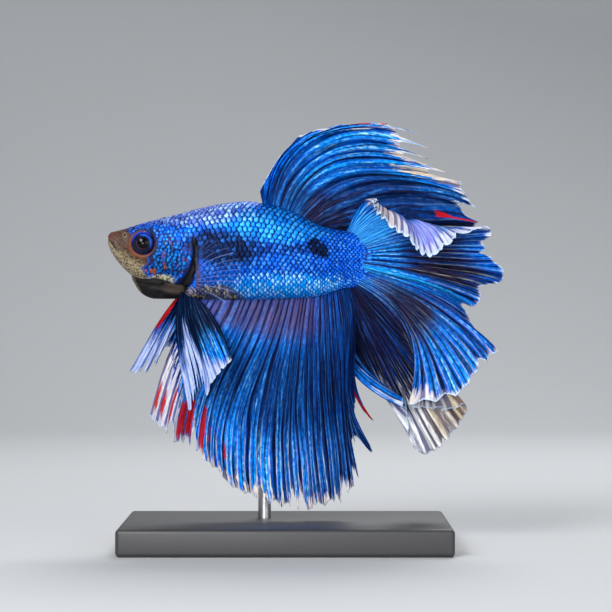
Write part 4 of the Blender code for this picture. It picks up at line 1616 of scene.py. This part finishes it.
CAUDAL = Fan(
    "caudal_fin_rays", round_tail,
    ((0.000, 17.0, 64.1, 62, 20, 0.35, 0.30, -0.6, -1.5, 0.2),
     (0.060, 16.2, 62.1, 60, -100, 0.90, 0.55, -1.6, -5.0, 0.5),
     (0.110, 18.4, 59.1, 52, -105, 1.00, 0.75, -2.2, -6.4, 0.5),
     (0.170, 21.8, 56.6, 44, -95, 0.75, 0.75, -2.6, -7.4, 0.4),
     (0.230, 25.6, 53.0, 36, -82, 0.62, 0.72, -2.4, -7.8, 0.4),
     (0.290, 29.5, 55.3, 27, -62, 0.50, 0.55, -1.8, -6.4, 0.4),
     (0.340, 32.3, 57.3, 20, -30, 0.45, 0.40, -1.0, -4.6, 0.7),
     (0.380, 37.9, 58.8, 14, 4, 0.34, 0.34, -0.4, -2.2, 0.9),
     (0.425, 37.2, 54.6, 6, -6, 0.34, 0.34, 0.2, -0.2, 1.2),
     (0.450, 38.6, 52.7, 2, 2, 0.34, 0.34, -0.2, 0.2, 0.7),
     (0.480, 40.4, 51.0, -2, -8, 0.34, 0.34, -0.6, 0.6, 0.6),
     (0.510, 39.9, 48.9, -5, -16, 0.34, 0.34, -1.2, 0.2, 0.7),
     (0.530, 37.0, 47.7, -8, -18, 0.34, 0.34, -1.8, -0.4, 1.1),
     (0.570, 35.4, 44.4, -12, -32, 0.34, 0.34, -3.0, -2.6, 0.8),
     (0.600, 33.6, 44.0, -15, -38, 0.34, 0.34, -1.2, 0.4, 1.0),
     (0.630, 35.3, 39.6, -15, -44, 0.34, 0.34, -0.4, -1.0, 0.8),
     (0.655, 39.1, 35.8, -14, -48, 0.34, 0.34, 0.2, -2.4, 0.8),
     (0.700, 35.9, 33.4, -16, -56, 0.34, 0.34, -0.2, -4.6, 1.2),
     (0.750, 32.3, 28.7, -18, -66, 0.36, 0.36, -1.4, -6.2, 1.2),
     (0.790, 27.7, 26.9, -20, -84, 0.40, 0.38, -2.6, -7.0, 0.8),
     (0.825, 22.3, 26.1, -22, -108, 0.48, 0.40, -3.4, -6.6, 0.4),
     (0.850, 26.9, 25.2, -34, -80, 0.42, 0.36, -1.2, -2.2, 0.4),
     (0.875, 33.6, 25.0, -42, -50, 0.36, 0.34, 0.8, 2.4, 0.8),
     (0.905, 31.7, 21.5, -50, -56, 0.34, 0.34, 1.8, 3.8, 0.9),
     (0.935, 27.7, 17.3, -62, -62, 0.34, 0.34, 2.4, 4.6, 0.7),
     (0.955, 23.9, 17.6, -74, -66, 0.36, 0.34, 2.8, 4.8, 0.6),
     (0.975, 22.2, 27.0, -104, -34, 0.50, 0.42, 2.4, 1.6, 0.4),
     (1.000, 21.6, 25.6, -107, -24, 0.50, 0.46, 1.6, 0.4, 0.2)),
    ((0.00, 0.06, 0.1, 0.0, 0.1, 0.0, 0.3, 0.0),
     (0.04, 0.40, 0.4, 0.0, 0.0, 0.0, 0.7, 0.1),
     (0.12, 0.42, 0.6, 0.0, 0.0, 0.1, 1.2, 0.2),
     (0.18, 0.10, 0.1, 0.0, 0.0, 0.1, 1.2, 0.1),
     (0.30, 0.06, 0.0, 0.0, 0.0, 0.1, 1.1, 0.0),
     (0.36, 0.08, 0.1, 0.0, 0.1, 0.1, 0.8, 0.0),
     (0.42, 0.012, 0.3, 0.0, 0.1, 0.0, 0.4, 0.3),
     (0.49, 0.008, 0.0, 0.0, 0.1, 0.0, 0.3, 0.2),
     (0.54, 0.015, 0.3, 0.0, 0.3, 0.0, 0.2, 0.6),
     (0.572, 0.015, 0.5, 0.0, 0.0, 0.0, 1.2, 0.0),
     (0.598, 0.015, 0.5, 0.0, 0.0, 0.0, 1.2, 0.0),
     (0.62, 0.03, 0.8, 0.1, 0.35, 0.0, 0.4, 0.4),
     (0.66, 0.02, 0.8, 0.1, 0.1, 0.0, 0.6, 0.4),
     (0.70, 0.012, 0.5, 0.0, 0.1, 0.0, 0.8, 0.5),
     (0.77, 0.015, 0.3, 0.0, 0.1, 0.0, 0.9, 0.4),
     (0.825, 0.05, 0.6, 0.0, 0.3, 0.0, 0.5, 0.5),
     (0.85, 0.07, 0.4, 0.0, 0.9, 0.0, 0.0, 0.4),
     (0.88, 0.24, 0.7, 0.0, 0.98, 0.0, 0.0, 0.5),
     (0.905, 0.30, 0.6, 0.0, 0.98, 0.0, 0.0, 0.5),
     (0.945, 0.34, 0.1, 0.0, 0.98, 0.0, 0.0, 0.5),
     (0.957, 0.36, 0.1, 0.0, 0.95, 0.0, 0.1, 0.3),
     (0.964, 0.28, 0.0, 0.0, 0.9, 0.0, 0.2, 0.1),
     (0.970, 0.02, 0.0, 0.0, 0.1, 0.0, 0.9, 0.0),
     (1.00, 0.02, 0.0, 0.0, 0.0, 0.0, 0.8, 0.0)),
    count=50, rows=92, finish=TAIL_FINISH, pleat=0.11, split=1, steps=10, thick=0.2, seed=6.0,
    uneven=0.7, folds=2.1,
    hems=((0.0, 0.2, 0.8, 0.3), (0.04, 0.5, 0.8, 0.5), (0.10, 0.5, 0.8, 0.5),
          (0.16, 0.12, 0.7, 0.6), (0.30, 0.08, 0.7, 0.6), (0.40, 0.25, 1.1, 0.4),
          (0.48, 0.20, 0.8, 0.3), (0.60, 0.12, 1.3, 0.4), (0.80, 0.25, 1.2, 0.5),
          (0.86, 0.8, 1.0, 0.6), (0.92, 1.0, 0.9, 0.6), (0.95, 0.6, 0.9, 0.6),
          (0.97, 0.05, 1.5, 0.3), (1.0, 0.0, 1.5, 0.3)),
    dense=((0.0, 1.0), (0.03, 2.0), (0.12, 2.2), (0.31, 2.4), (0.36, 1.0), (0.80, 1.0),
           (0.86, 1.5), (0.95, 1.3), (0.97, 0.8), (1.0, 0.8)),
    spots=((VIOLET, 0.24, 0.085, 0.86, 0.24, 1.0), (PALE, 0.24, 0.085, 0.86, 0.24, 0.34),
           (DUSK, 0.45, 0.09, 0.58, 0.26, 0.75), (WARM, 0.46, 0.12, 0.60, 0.30, 0.6),
           # Painted shade: the lower lobe's panel behind a fold is darkened; warm gives it its
           # purple-brown.
           (DUSK, 0.745, 0.090, 0.40, 0.21, 1.0), (WARM, 0.74, 0.10, 0.40, 0.24, 1.1),
           (PALE, 0.984, 0.0020, 0.72, 0.30, 0.7), (PALE, 0.81, 0.014, 0.95, 0.07, 0.5),
           (DUSK, 0.984, 0.022, 0.30, 0.26, 1.0), (PALE, 0.996, 0.004, 0.90, 0.14, 0.5),
           (CREAM, 0.882, 0.016, 0.8, 0.35, 0.9),
           (CREAM, 0.918, 0.006, 0.88, 0.10, 0.6),
           (WARM, 0.70, 0.10, 0.85, 0.22, 0.5),
           (DUSK, 0.52, 0.03, 0.70, 0.3, 0.5), (FLASH, 0.20, 0.16, 0.30, 0.22, 0.3),
           (FLASH, 0.42, 0.5, 0.16, 0.20, 0.9),
           (FLASH, 0.585, 0.016, 0.45, 0.46, 1.3)))

PELVIC_LEFT = Fan(
    "pelvic_fin_left_rays", under_throat,
    ((0.00, -17.7, 25.2, -112, -80, 0.30, 0.34, 2.2, 3.0, 0.2),
     (0.08, -17.4, 25.4, -108, -84, 0.30, 0.34, 2.6, 3.3, 0.5),
     (0.20, -15.4, 27.0, -104, -92, 0.30, 0.34, 2.8, 3.8, 7.5),
     (0.32, -14.6, 27.6, -98, -100, 0.30, 0.34, 3.0, 4.2, 0.7),
     (0.45, -13.5, 30.2, -92, -78, 0.30, 0.34, 3.2, 4.4, 0.35),
     (0.72, -11.4, 32.8, -72, -66, 0.30, 0.34, 3.2, 4.8, 0.3),
     (1.00, -9.8, 34.4, -42, -74, 0.36, 0.36, 3.0, 4.4, 0.2)),
    ((0.00, 0.48, 0.0, 0.0, 0.0, 0.0, 0.2, 0.0),
     (0.22, 0.40, 0.0, 0.0, 0.0, 0.0, 0.6, 0.0),
     (0.34, 0.34, 0.0, 0.0, 0.0, 0.0, 1.0, 0.0),
     (0.48, 0.24, 0.0, 0.0, 0.0, 0.0, 1.2, 0.0),
     (0.66, 0.15, 0.2, 0.0, 0.0, 0.0, 1.2, 0.1),
     (0.88, 0.05, 0.4, 0.0, 0.1, 0.0, 1.1, 0.2),
     (1.00, 0.03, 0.4, 0.0, 1.1, 0.0, 0.1, 0.0)),
    count=9, rows=56, finish=PELVIC_FINISH, slot="pale_fin", mirror=-1.0, pleat=0.12,
    steps=8, seed=8.0, spots=((DUSK, 0.5, 0.9, 0.12, 0.46, 1.3),
                              (DUSK, 0.40, 0.05, 0.48, 0.26, 1.0)))

PELVIC_RIGHT = Fan(
    "pelvic_fin_right_rays", under_throat,
    ((0.00, -29.4, 31.9, -134, -124, 0.36, 0.30, 2.0, 3.6, 0.3),
     (0.14, -28.2, 30.6, -126, -122, 0.36, 0.30, 2.2, 4.0, 5.6),
     (0.30, -25.4, 31.4, -116, -114, 0.34, 0.30, 2.4, 4.4, 6.2),
     (0.65, -22.3, 36.2, -106, -98, 0.34, 0.30, 2.6, 4.4, 1.2),
     (1.00, -19.4, 36.3, -96, -80, 0.34, 0.30, 2.4, 3.8, 0.2)),
    ((0.00, 0.50, 0.0, 0.0, 0.0, 0.0, 0.2, 0.0),
     (0.30, 0.45, 0.0, 0.0, 0.1, 0.0, 0.5, 0.0),
     (0.50, 0.20, 0.1, 0.0, 0.2, 0.0, 0.9, 0.0),
     (1.00, 0.05, 0.3, 0.0, 0.3, 0.0, 0.5, 0.0)),
    count=6, rows=50, finish=PELVIC_FINISH, slot="pale_fin", pleat=0.12, steps=9, seed=9.0,
    hems=((0.0, 0.0, 4.6, 0.6), (0.4, 0.1, 4.0, 0.6), (1.0, 0.0, 2.4, 0.4)),
    spots=((DUSK, 0.5, 0.9, 0.14, 0.26, 1.1), (RED, 0.0, 0.09, 0.24, 0.22, 1.1)))

PECTORAL_ROWS = (
    (0.00, -15.3, 56.9, 84, 50, 0.34, 0.34, 6.0, 6.6, 0.2),
    (0.25, -11.1, 55.8, 70, 22, 0.40, 0.34, 6.4, 7.2, 0.4),
    (0.50, -7.9, 52.5, 30, 2, 0.34, 0.34, 6.6, 7.4, 0.4),
    (0.75, -8.5, 48.3, -5, -14, 0.34, 0.34, 6.6, 7.2, 0.4),
    (1.00, -11.8, 43.1, -36, -52, 0.34, 0.34, 6.0, 6.6, 0.2))
PECTORAL_MARKS = (
    (0.00, 0.00, 0.0, 0.0, 0.3, 0.5, 0.0, 0.8),
    (0.12, 0.00, 0.0, 0.0, 0.3, 0.6, 0.0, 0.5),
    (0.30, 0.00, 0.0, 0.0, 0.6, 0.3, 0.0, 0.5),
    (1.00, 0.00, 0.0, 0.0, 0.6, 0.3, 0.0, 0.5))


def pectoral(side: Side) -> Fan:
    """Return the see-through fin of one flank.

    Args:
        side: The flank.

    Returns:
        The fin.
    """
    name = "pectoral_fin_%s_rays" % side.name.lower()
    return Fan(name, behind_gill, PECTORAL_ROWS, PECTORAL_MARKS, count=13, rows=36,
               finish=CLEAR_FINISH, slot="clear_fin", mirror=float(side.value), pleat=0.07,
               thick=0.14, steps=4, seed=11.0, even=0.4)


@dataclass
class Fins:
    """All the fins."""

    fans: tuple = field(default_factory=lambda: (
        DORSAL, ANAL, CAUDAL, PELVIC_LEFT, PELVIC_RIGHT, pectoral(Side.LEFT),
        pectoral(Side.RIGHT)))

    def build(self) -> None:
        """Build and dress each fin in place of its solid."""
        finishes = {}
        for fan in self.fans:
            if fan.finish.name not in finishes:
                finishes[fan.finish.name] = fan.finish.make()
            settle(fan.build(), finishes[fan.finish.name],
                   (fan.name.replace("_rays", ""),))


# ---- Body ----
@dataclass
class Skin:
    """The skin of head, jaw, trunk and tail root in one piece, and the gill folds."""

    segments: int = 280
    rings: int = 344
    folds: tuple = (-22.6, 48.6, 5.2, 2.2, 2.9)

    def build(self) -> None:
        """Wrap a fine sphere round the fish and raise its relief."""
        share = 1
        piece = start("fish_skin", bpy.ops.mesh.primitive_uv_sphere_add, radius=1,
                      segments=self.segments // share, ring_count=self.rings // share)
        ball = read_points(piece)
        around = np.hypot(ball[:, 0], ball[:, 1])
        polar = np.arctan2(around, -ball[:, 2]) / np.pi
        place = polar - 0.11 * np.sin(2 * np.pi * polar)
        x = BODY.snout_x + BODY.depth + (BODY.tail_x - BODY.snout_x - 2 * BODY.depth) * place
        turn = np.arctan2(ball[:, 0], ball[:, 1])
        points = BODY.place(x, turn, BODY.depth)
        points += BODY.normal(x, turn) * (BODY.relief(points) * (around > 1e-5))[:, None]
        write_points(piece, points)
        add_unwrap(piece, 0.01 + 0.98 * place, 0.5 + 0.49 * turn / np.pi)
        settle(piece, SkinFinish().make(), ("head", "lower_jaw", "trunk", "tail_root"))
        self.build_folds()

    def build_folds(self) -> None:
        """Build the pleated dark membrane under the gill covers."""
        x, z, long, wide, high = self.folds
        piece = start("gill_folds", bpy.ops.mesh.primitive_uv_sphere_add, radius=1,
                      segments=120, ring_count=90)
        ball = read_points(piece)
        side = ball[:, 2]
        flat = np.maximum(np.hypot(ball[:, 0], ball[:, 1]), 1e-6)
        cos, sin = ball[:, 0] / flat, ball[:, 1] / flat
        square = (np.abs(cos) ** 3.6 + np.abs(sin) ** 3.6) ** (-1 / 3.6)
        across, up = ball[:, 0] * square, ball[:, 1] * square
        pleat = 0.05 * np.cos(up * 12 + across * 4) * smooth(np.abs(side), 0.1, 0.5)
        front = smooth(-across, 0.1, 1.0)
        points = np.stack([x + long * across - 1.5 * up * front,
                           wide * side * (1 + pleat) * (1 - 0.45 * front),
                           z + high * up * (1 - 0.10 * front) - 0.25 * front], 1)
        write_points(piece, points)
        angle = np.arctan2(ball[:, 1], ball[:, 0]) / np.pi
        add_unwrap(piece, 0.5 + 0.49 * angle, 0.5 + 0.49 * side)
        settle(piece, MembraneFinish().make(), ("gill_membrane",))


@dataclass
class Eyes:
    """Two flattened eyeballs with a bulging front."""

    depth: float = 1.42
    inward: float = 2.28

    def build(self) -> None:
        """Build an eye on each side."""
        material = EyeFinish().make()
        for side in Side:
            piece = start("eyeball_" + side.name.lower(), radius=1, segments=96,
                          ring_count=64, add=bpy.ops.mesh.primitive_uv_sphere_add)
            ball = read_points(piece)
            bulge = 1 + 0.16 * bump(np.hypot(ball[:, 0], ball[:, 1]), 0.0, 0.6)
            x, z, radius = BODY.eye
            points = np.stack([x + radius * ball[:, 0],
                               side.value * (self.inward + self.depth * ball[:, 2] * bulge),
                               z - side.value * radius * ball[:, 1]], 1)
            write_points(piece, points)
            half = 0.25 + 0.24 * ball[:, 0] + np.where(ball[:, 2] > 0, 0.0, 0.5)
            add_unwrap(piece, half, 0.5 + 0.48 * ball[:, 1])
            settle(piece, material, ("eye_" + side.name.lower(),))


@dataclass
class Plate:
    """One modelled scale: its points, its faces and how near each point is to the rim."""

    points: np.ndarray
    faces: list
    rim: np.ndarray


@dataclass
class Sites:
    """Where scales stand: place along and angle round the body, pitch and spacing there."""

    x: np.ndarray
    turn: np.ndarray
    length: np.ndarray
    width: np.ndarray

    def keep(self, chosen: np.ndarray) -> Sites:
        """Return the chosen sites."""
        return Sites(self.x[chosen], self.turn[chosen], self.length[chosen], self.width[chosen])


@dataclass
class Scales:
    """Overlapping scales laid in staggered rows over the skin."""

    around: int = 14
    pitch: tuple = ((-31.0, 0.66), (-24.0, 0.72), (-19.0, 0.78), (-16.5, 0.92), (-8.0, 1.00),
                    (2.0, 0.94), (9.0, 0.82), (13.0, 0.74), (16.6, 0.70))
    start_x: float = -30.0
    end_x: float = 16.2
    dome: float = 0.30
    depth: float = 0.35
    rise: float = 0.22
    bend: float = 5.5
    patch: float = 0.0015
    eye_rim: float = 2.42
    chin: Oval = Oval(-26.6, 52.6, 2.2, 1.7)
    seed: int = 7

    def plate(self) -> Plate:
        """Model one scale: a domed shield with a thick middle.

        Returns:
            The scale.
        """
        piece = start("one_scale", bpy.ops.mesh.primitive_grid_add, x_subdivisions=5,
                      y_subdivisions=5, size=2)
        flat = read_points(piece)
        u, v = flat[:, 0], flat[:, 1]
        rim = np.maximum(np.abs(u), np.abs(v))
        points = np.stack([u * np.sqrt(1 - 0.5 * v**2), v * np.sqrt(1 - 0.5 * u**2),
                           self.dome * (1 - rim**2)], 1)
        piece.data.vertices.foreach_set("co", points.ravel())
        bpy.ops.object.mode_set(mode="EDIT")
        bpy.ops.mesh.select_all(action="SELECT")
        bpy.ops.mesh.extrude_region_move(
            TRANSFORM_OT_translate={"value": (0, 0, -self.depth)})
        bpy.ops.object.mode_set(mode="OBJECT")
        points = read_points(piece)
        faces = [tuple(face.vertices) for face in piece.data.polygons]
        bpy.data.objects.remove(piece, do_unlink=True)
        return Plate(points, faces, np.clip(np.hypot(points[:, 0], points[:, 1]), 0, 1))

    def lattice(self) -> Sites:
        """Return the sites of the left side's scales, in staggered columns.

        Returns:
            The sites.
        """
        columns = []
        x = self.start_x
        while x < self.end_x:
            columns.append(x)
            x += float(blend(self.pitch, np.array([x]))[0, 0]) / 2
        parts = []
        fine = np.linspace(0, np.pi, 361)
        for index, x in enumerate(columns):
            points = BODY.place(np.full_like(fine, x), fine, BODY.depth)
            run = np.concatenate([[0], np.cumsum(np.linalg.norm(np.diff(points, axis=0),
                                                                axis=1))])
            row = (np.arange(self.around) + 0.5 * (index % 2) + 0.25) / self.around
            row = row + 0.06 * np.sin(np.pi * row) + 0.03 * np.sin(np.pi * row) ** 2
            turn = np.interp(np.clip(row, 0.012, 0.988) * run[-1], run, fine)
            size = float(blend(self.pitch, np.array([x]))[0, 0])
            parts.append([np.full_like(turn, x), turn, np.full_like(turn, size),
                          np.full_like(turn, run[-1] / self.around)])
        return Sites(*np.concatenate(parts, axis=1))

    def covered(self, sites: Sites, random: Any) -> np.ndarray:
        """Return which sites bear a scale: not the face, eye, chin, gill gap or tail's end.

        Args:
            sites: The sites of one side.
            random: The seeded source of a ragged edge.

        Returns:
            True for each site that is kept.
        """
        x, z = sites.x, BODY.place(sites.x, sites.turn, BODY.depth)[:, 2]
        edge = face_edge(x, z) + random.uniform(-0.4, 0.4, len(x))
        from_gill = distance(x, z, BODY.gill)
        far_side = 9.75 + 0.13 * np.clip(57.5 - z, 0, 10)
        in_gap = (from_gill > 8.55) & (from_gill < far_side) & (z < 57.2) & (x > -22)
        rear = random.uniform(0, 1, len(x)) > smooth(x, 12.4, 17.0)
        return ((edge > 0.0) & (BODY.from_eye(x, z) > self.eye_rim) & ~in_gap
                & ~(self.chin.out(x, z) < 1) & rear)

    def build(self) -> None:
        """Lay the scales of each side as one mesh."""
        material = ScaleFinish().make()
        plate = self.plate()
        random = np.random.default_rng(self.seed)
        for side in Side:
            sites = self.lattice()
            sites.turn = sites.turn if side is Side.LEFT else -sites.turn
            sites = sites.keep(self.covered(sites, random))
            points = self.spread(plate, sites, random)
            piece = self.join("scales_" + side.name.lower(), plate, points)
            self.store(piece, plate, sites, random)
            settle(piece, material)

    def spread(self, plate: Plate, sites: Sites, random: Any) -> np.ndarray:
        """Shift the sites a little and copy the plate to each.

        Args:
            plate: The scale to copy.
            sites: Where the copies stand; they are moved.
            random: The seeded source of small differences.

        Returns:
            The points of every copy, in millimetres.
        """
        count = len(sites.x)
        head = smooth(-sites.x, 16.5, 18.5)
        loose = 0.12 + 0.22 * head
        sites.x = sites.x + random.normal(0, 1, count) * loose * 0.5
        sites.turn = sites.turn + random.normal(0, 1, count) * loose * 0.03
        x, turn = sites.x, sites.turn
        spot = BODY.place(x, turn, BODY.depth)
        up = BODY.normal(x, turn)
        spot = spot + up * BODY.relief(spot)[:, None]
        ahead = BODY.place(x + 0.1, turn, BODY.depth) - BODY.place(x - 0.1, turn, BODY.depth)
        ahead /= np.linalg.norm(ahead, axis=1)[:, None]
        across = np.cross(up, ahead)
        twist = random.normal(0, 1, count) * (0.06 + 0.5 * head)
        ahead, across = (ahead * np.cos(twist)[:, None] + across * np.sin(twist)[:, None],
                         across * np.cos(twist)[:, None] - ahead * np.sin(twist)[:, None])
        tilt = 0.13 + random.uniform(-0.03, 0.03, count)
        odd = random.uniform(-1, 1, count) * (0.08 + 0.20 * head)
        rear = smooth(x, 12.5, 16.5)
        long = sites.length * (0.84 - 0.14 * head) * (1 + odd) * (1 + 0.45 * rear)
        wide = sites.width * (0.65 - 0.13 * head) * (1 + odd * 0.8) * (1 - 0.12 * rear)
        local_x = plate.points[None, :, 0] * long[:, None]
        local_y = plate.points[None, :, 1] * wide[:, None]
        local_z = plate.points[None, :, 2] * self.rise + local_x * tilt[:, None] - 0.03
        curve = local_y**2 / (2 * self.bend)
        return (spot[:, None] + ahead[:, None] * local_x[..., None]
                + across[:, None] * local_y[..., None]
                + up[:, None] * (local_z - curve)[..., None])

    @staticmethod
    def join(name: str, plate: Plate, points: np.ndarray) -> Any:
        """Make one mesh of all the copies, with its faces outward.

        Args:
            name: The name of the piece.
            plate: The scale that was copied.
            points: The points of every copy.

        Returns:
            The piece.
        """
        mesh = bpy.data.meshes.new(name)
        shift = (np.arange(len(points)) * len(plate.points))[:, None]
        every = []
        for size in sorted({len(face) for face in plate.faces}):
            some = np.array([face for face in plate.faces if len(face) == size])
            every += (some[None] + shift[:, :, None]).reshape(-1, size).tolist()
        mesh.from_pydata((points.reshape(-1, 3) * MM).tolist(), [], every)
        piece = bpy.data.objects.new(name, mesh)
        bpy.context.scene.collection.objects.link(piece)
        pick(piece)
        bpy.ops.object.mode_set(mode="EDIT")
        bpy.ops.mesh.select_all(action="SELECT")
        bpy.ops.mesh.normals_make_consistent(inside=False)
        bpy.ops.object.mode_set(mode="OBJECT")
        return piece

    def store(self, piece: Any, plate: Plate, sites: Sites, random: Any) -> None:
        """Store each scale's rim, its tone and its small patch of the unwrap.

        Args:
            piece: The joined scales.
            plate: The scale that was copied.
            sites: Where the copies stand.
            random: The seeded source of the tones.
        """
        count = len(sites.x)
        add_value(piece, "rim", np.tile(plate.rim, count))
        tone = np.clip(random.normal(0.48, 0.32, count), 0, 1)
        add_value(piece, "tone", np.repeat(tone, len(plate.points)))
        place = (sites.x - BODY.snout_x) / (BODY.tail_x - BODY.snout_x)
        corner = [np.tile(plate.points[:, axis], count) * self.patch for axis in (0, 1)]
        add_unwrap(piece, np.repeat(0.01 + 0.98 * place, len(plate.points)) + corner[0],
                   np.repeat(0.5 + 0.49 * sites.turn / np.pi, len(plate.points)) + corner[1])


# ---- Stand, studio and camera ----
@dataclass(frozen=True)
class PlateFinish:
    """The dark, slightly cloudy lacquer of the base."""

    roughness: float = 0.38
    dark: tuple = (0.018, 0.018, 0.020)
    light: tuple = (0.035, 0.035, 0.038)

    def make(self) -> Any:
        """Make the material.

        Returns:
            The material.
        """
        graph = Graph("stand_plate")
        point = graph.place()[2]
        grain = graph.noise(point, 1500.0, 5.0, 0.6)
        cloud = graph.noise(point, 60.0, 3.0)
        colour = graph.mix(grain * 0.6 + cloud * 0.4, self.dark, self.light)
        graph.relief(grain, 0.00003, 0.4)
        return graph.finish(Base_Color=colour, Roughness=cloud * 0.15 + self.roughness)


@dataclass(frozen=True)
class SteelFinish:
    """The turned steel of the rod."""

    colour: tuple = (0.42, 0.42, 0.43)
    roughness: float = 0.2

    def make(self) -> Any:
        """Make the material.

        Returns:
            The material.
        """
        graph = Graph("stand_rod_steel")
        x, z, _ = graph.place()
        lines = graph.noise(graph.vector(x * 0.1, 0.0, z * 9.0), 1.0, 3.0)
        return graph.finish(Base_Color=self.colour, Metallic=1.0,
                            Roughness=lines * 0.25 + self.roughness)


@dataclass
class Stand:
    """A plain flat base with one steel rod, cut aslant where it meets the flank."""

    size: tuple = (60.0, 40.0, 5.0)
    rod: tuple = (-4.0, 4.2, 1.2)
    rod_top: float = 49.3
    rod_sunk: float = 0.3
    edge: float = 0.8
    crease: float = 30.0

    def build(self) -> None:
        """Build base and rod."""
        self.build_base()
        self.build_rod()

    def build_base(self) -> None:
        """Build the base with rounded edges."""
        base = start("stand_base_plate", bpy.ops.mesh.primitive_cube_add, size=1)
        write_points(base, read_points(base) * np.array(self.size)
                     + np.array([0, 0, self.size[2] / 2]))
        edge = base.modifiers.new("edges", "BEVEL")
        edge.width = self.edge * MM
        edge.segments = 6
        apply_modifiers(base)
        settle(base, PlateFinish().make(), ("stand_base",))
        bpy.ops.object.shade_smooth_by_angle(angle=math.radians(self.crease))

    def build_rod(self) -> None:
        """Build the rod."""
        x, y, radius = self.rod
        low = self.size[2] - self.rod_sunk
        rod = start("stand_rod_steel", bpy.ops.mesh.primitive_cylinder_add, vertices=48,
                    radius=1, depth=1)
        points = read_points(rod)
        slant = 1.6 * (points[:, 1] - 0.2) * (points[:, 2] > 0)
        height = low + (points[:, 2] + 0.5) * (self.rod_top - low) + slant
        write_points(rod, np.stack([x + points[:, 0] * radius, y + points[:, 1] * radius,
                                    height], 1))
        settle(rod, SteelFinish().make(), ("stand_rod",))
        bpy.ops.object.shade_smooth_by_angle(angle=math.radians(self.crease))


@dataclass(frozen=True)
class PaperFinish:
    """The pale paper of the sweep."""

    dark: tuple = (0.42, 0.43, 0.445)
    light: tuple = (0.46, 0.47, 0.485)

    def make(self) -> Any:
        """Make the material.

        Returns:
            The material.
        """
        graph = Graph("studio_paper")
        cloud = graph.noise(graph.place()[2], 3.0)
        return graph.finish(Base_Color=graph.mix(cloud, self.dark, self.light), Roughness=0.9)


@dataclass
class Studio:
    """Pale sweep, soft lights and a level camera beside the fish.

    A row of lamps holds: name, place in metres, size and power.
    """

    distance: float = 0.45
    frame_width: float = 0.11285
    middle: tuple = (0.0037, 0.0444)
    lamps: tuple = (("key", (-0.22, -0.45, 0.34), 0.22, 3.2),
                    ("fill", (0.34, -0.42, 0.07), 0.40, 1.3),
                    ("low", (-0.06, -0.40, 0.04), 0.16, 0.9),
                    ("rim", (0.10, 0.30, 0.42), 0.25, 2.2))
    sky: tuple = (0.9, 0.94, 1.0, 1.0)
    sky_power: float = 0.30
    wall: float = 402.0
    bend: float = 220.0

    def build(self) -> None:
        """Build the sweep, the lights, the sky and the camera."""
        self.build_sweep()
        for lamp in self.lamps:
            self.light(*lamp)
        world = bpy.data.worlds.new("studio")
        world.use_nodes = True
        sky = world.node_tree.nodes["Background"].inputs
        sky[0].default_value = self.sky
        sky[1].default_value = self.sky_power
        bpy.context.scene.world = world
        bpy.context.scene.view_settings.view_transform = "Standard"
        self.build_camera()

    def build_sweep(self) -> None:
        """Build a floor that turns up to a wall in a wide curve."""
        sweep = start("studio_sweep", bpy.ops.mesh.primitive_grid_add, x_subdivisions=2,
                      y_subdivisions=48, size=2)
        flat = read_points(sweep)
        run = (flat[:, 1] + 1) / 2
        turn = np.clip((run - 0.62) / 0.2, 0, 1) * math.pi / 2
        y = self.wall + np.where(run < 0.62, (run - 0.62) * 5000, self.bend * np.sin(turn))
        z = self.bend * (1 - np.cos(turn)) + np.clip(run - 0.82, 0, 1) * 3000
        write_points(sweep, np.stack([flat[:, 0] * 2500, y, z], 1))
        sweep.data.materials.append(PaperFinish().make())
        bpy.ops.object.shade_smooth()

    def build_camera(self) -> None:
        """Add the camera, level with the middle of the picture."""
        data = bpy.data.cameras.new("camera")
        camera = bpy.data.objects.new("camera", data)
        bpy.context.scene.collection.objects.link(camera)
        camera.location = (self.middle[0], -self.distance, self.middle[1])
        camera.rotation_euler = (math.pi / 2, 0, 0)
        data.sensor_width = 36.0
        data.lens = data.sensor_width * self.distance / self.frame_width
        data.clip_start = 0.01
        data.clip_end = 20.0
        bpy.context.scene.camera = camera

    def light(self, name: str, place: tuple, size: float, power: float) -> None:
        """Add one soft light that looks at the fish.

        Args:
            name: The name of the lamp.
            place: Its place, in metres.
            size: Its width, in metres.
            power: Its power, in watts.
        """
        data = bpy.data.lights.new(name, "AREA")
        data.size = size
        data.energy = power
        lamp = bpy.data.objects.new(name, data)
        bpy.context.scene.collection.objects.link(lamp)
        lamp.location = place
        aim = Vector((self.middle[0], 0, self.middle[1])) - Vector(place)
        lamp.rotation_euler = aim.to_track_quat("-Z", "Y").to_euler()


def main() -> None:
    """Build every piece in order."""
    logging.basicConfig(level=logging.INFO, format="%(name)s %(message)s")
    Studio().build()
    Skin().build()
    Eyes().build()
    Scales().build()
    Fins().build()
    Stand().build()


if __name__ == "__main__":
    main()
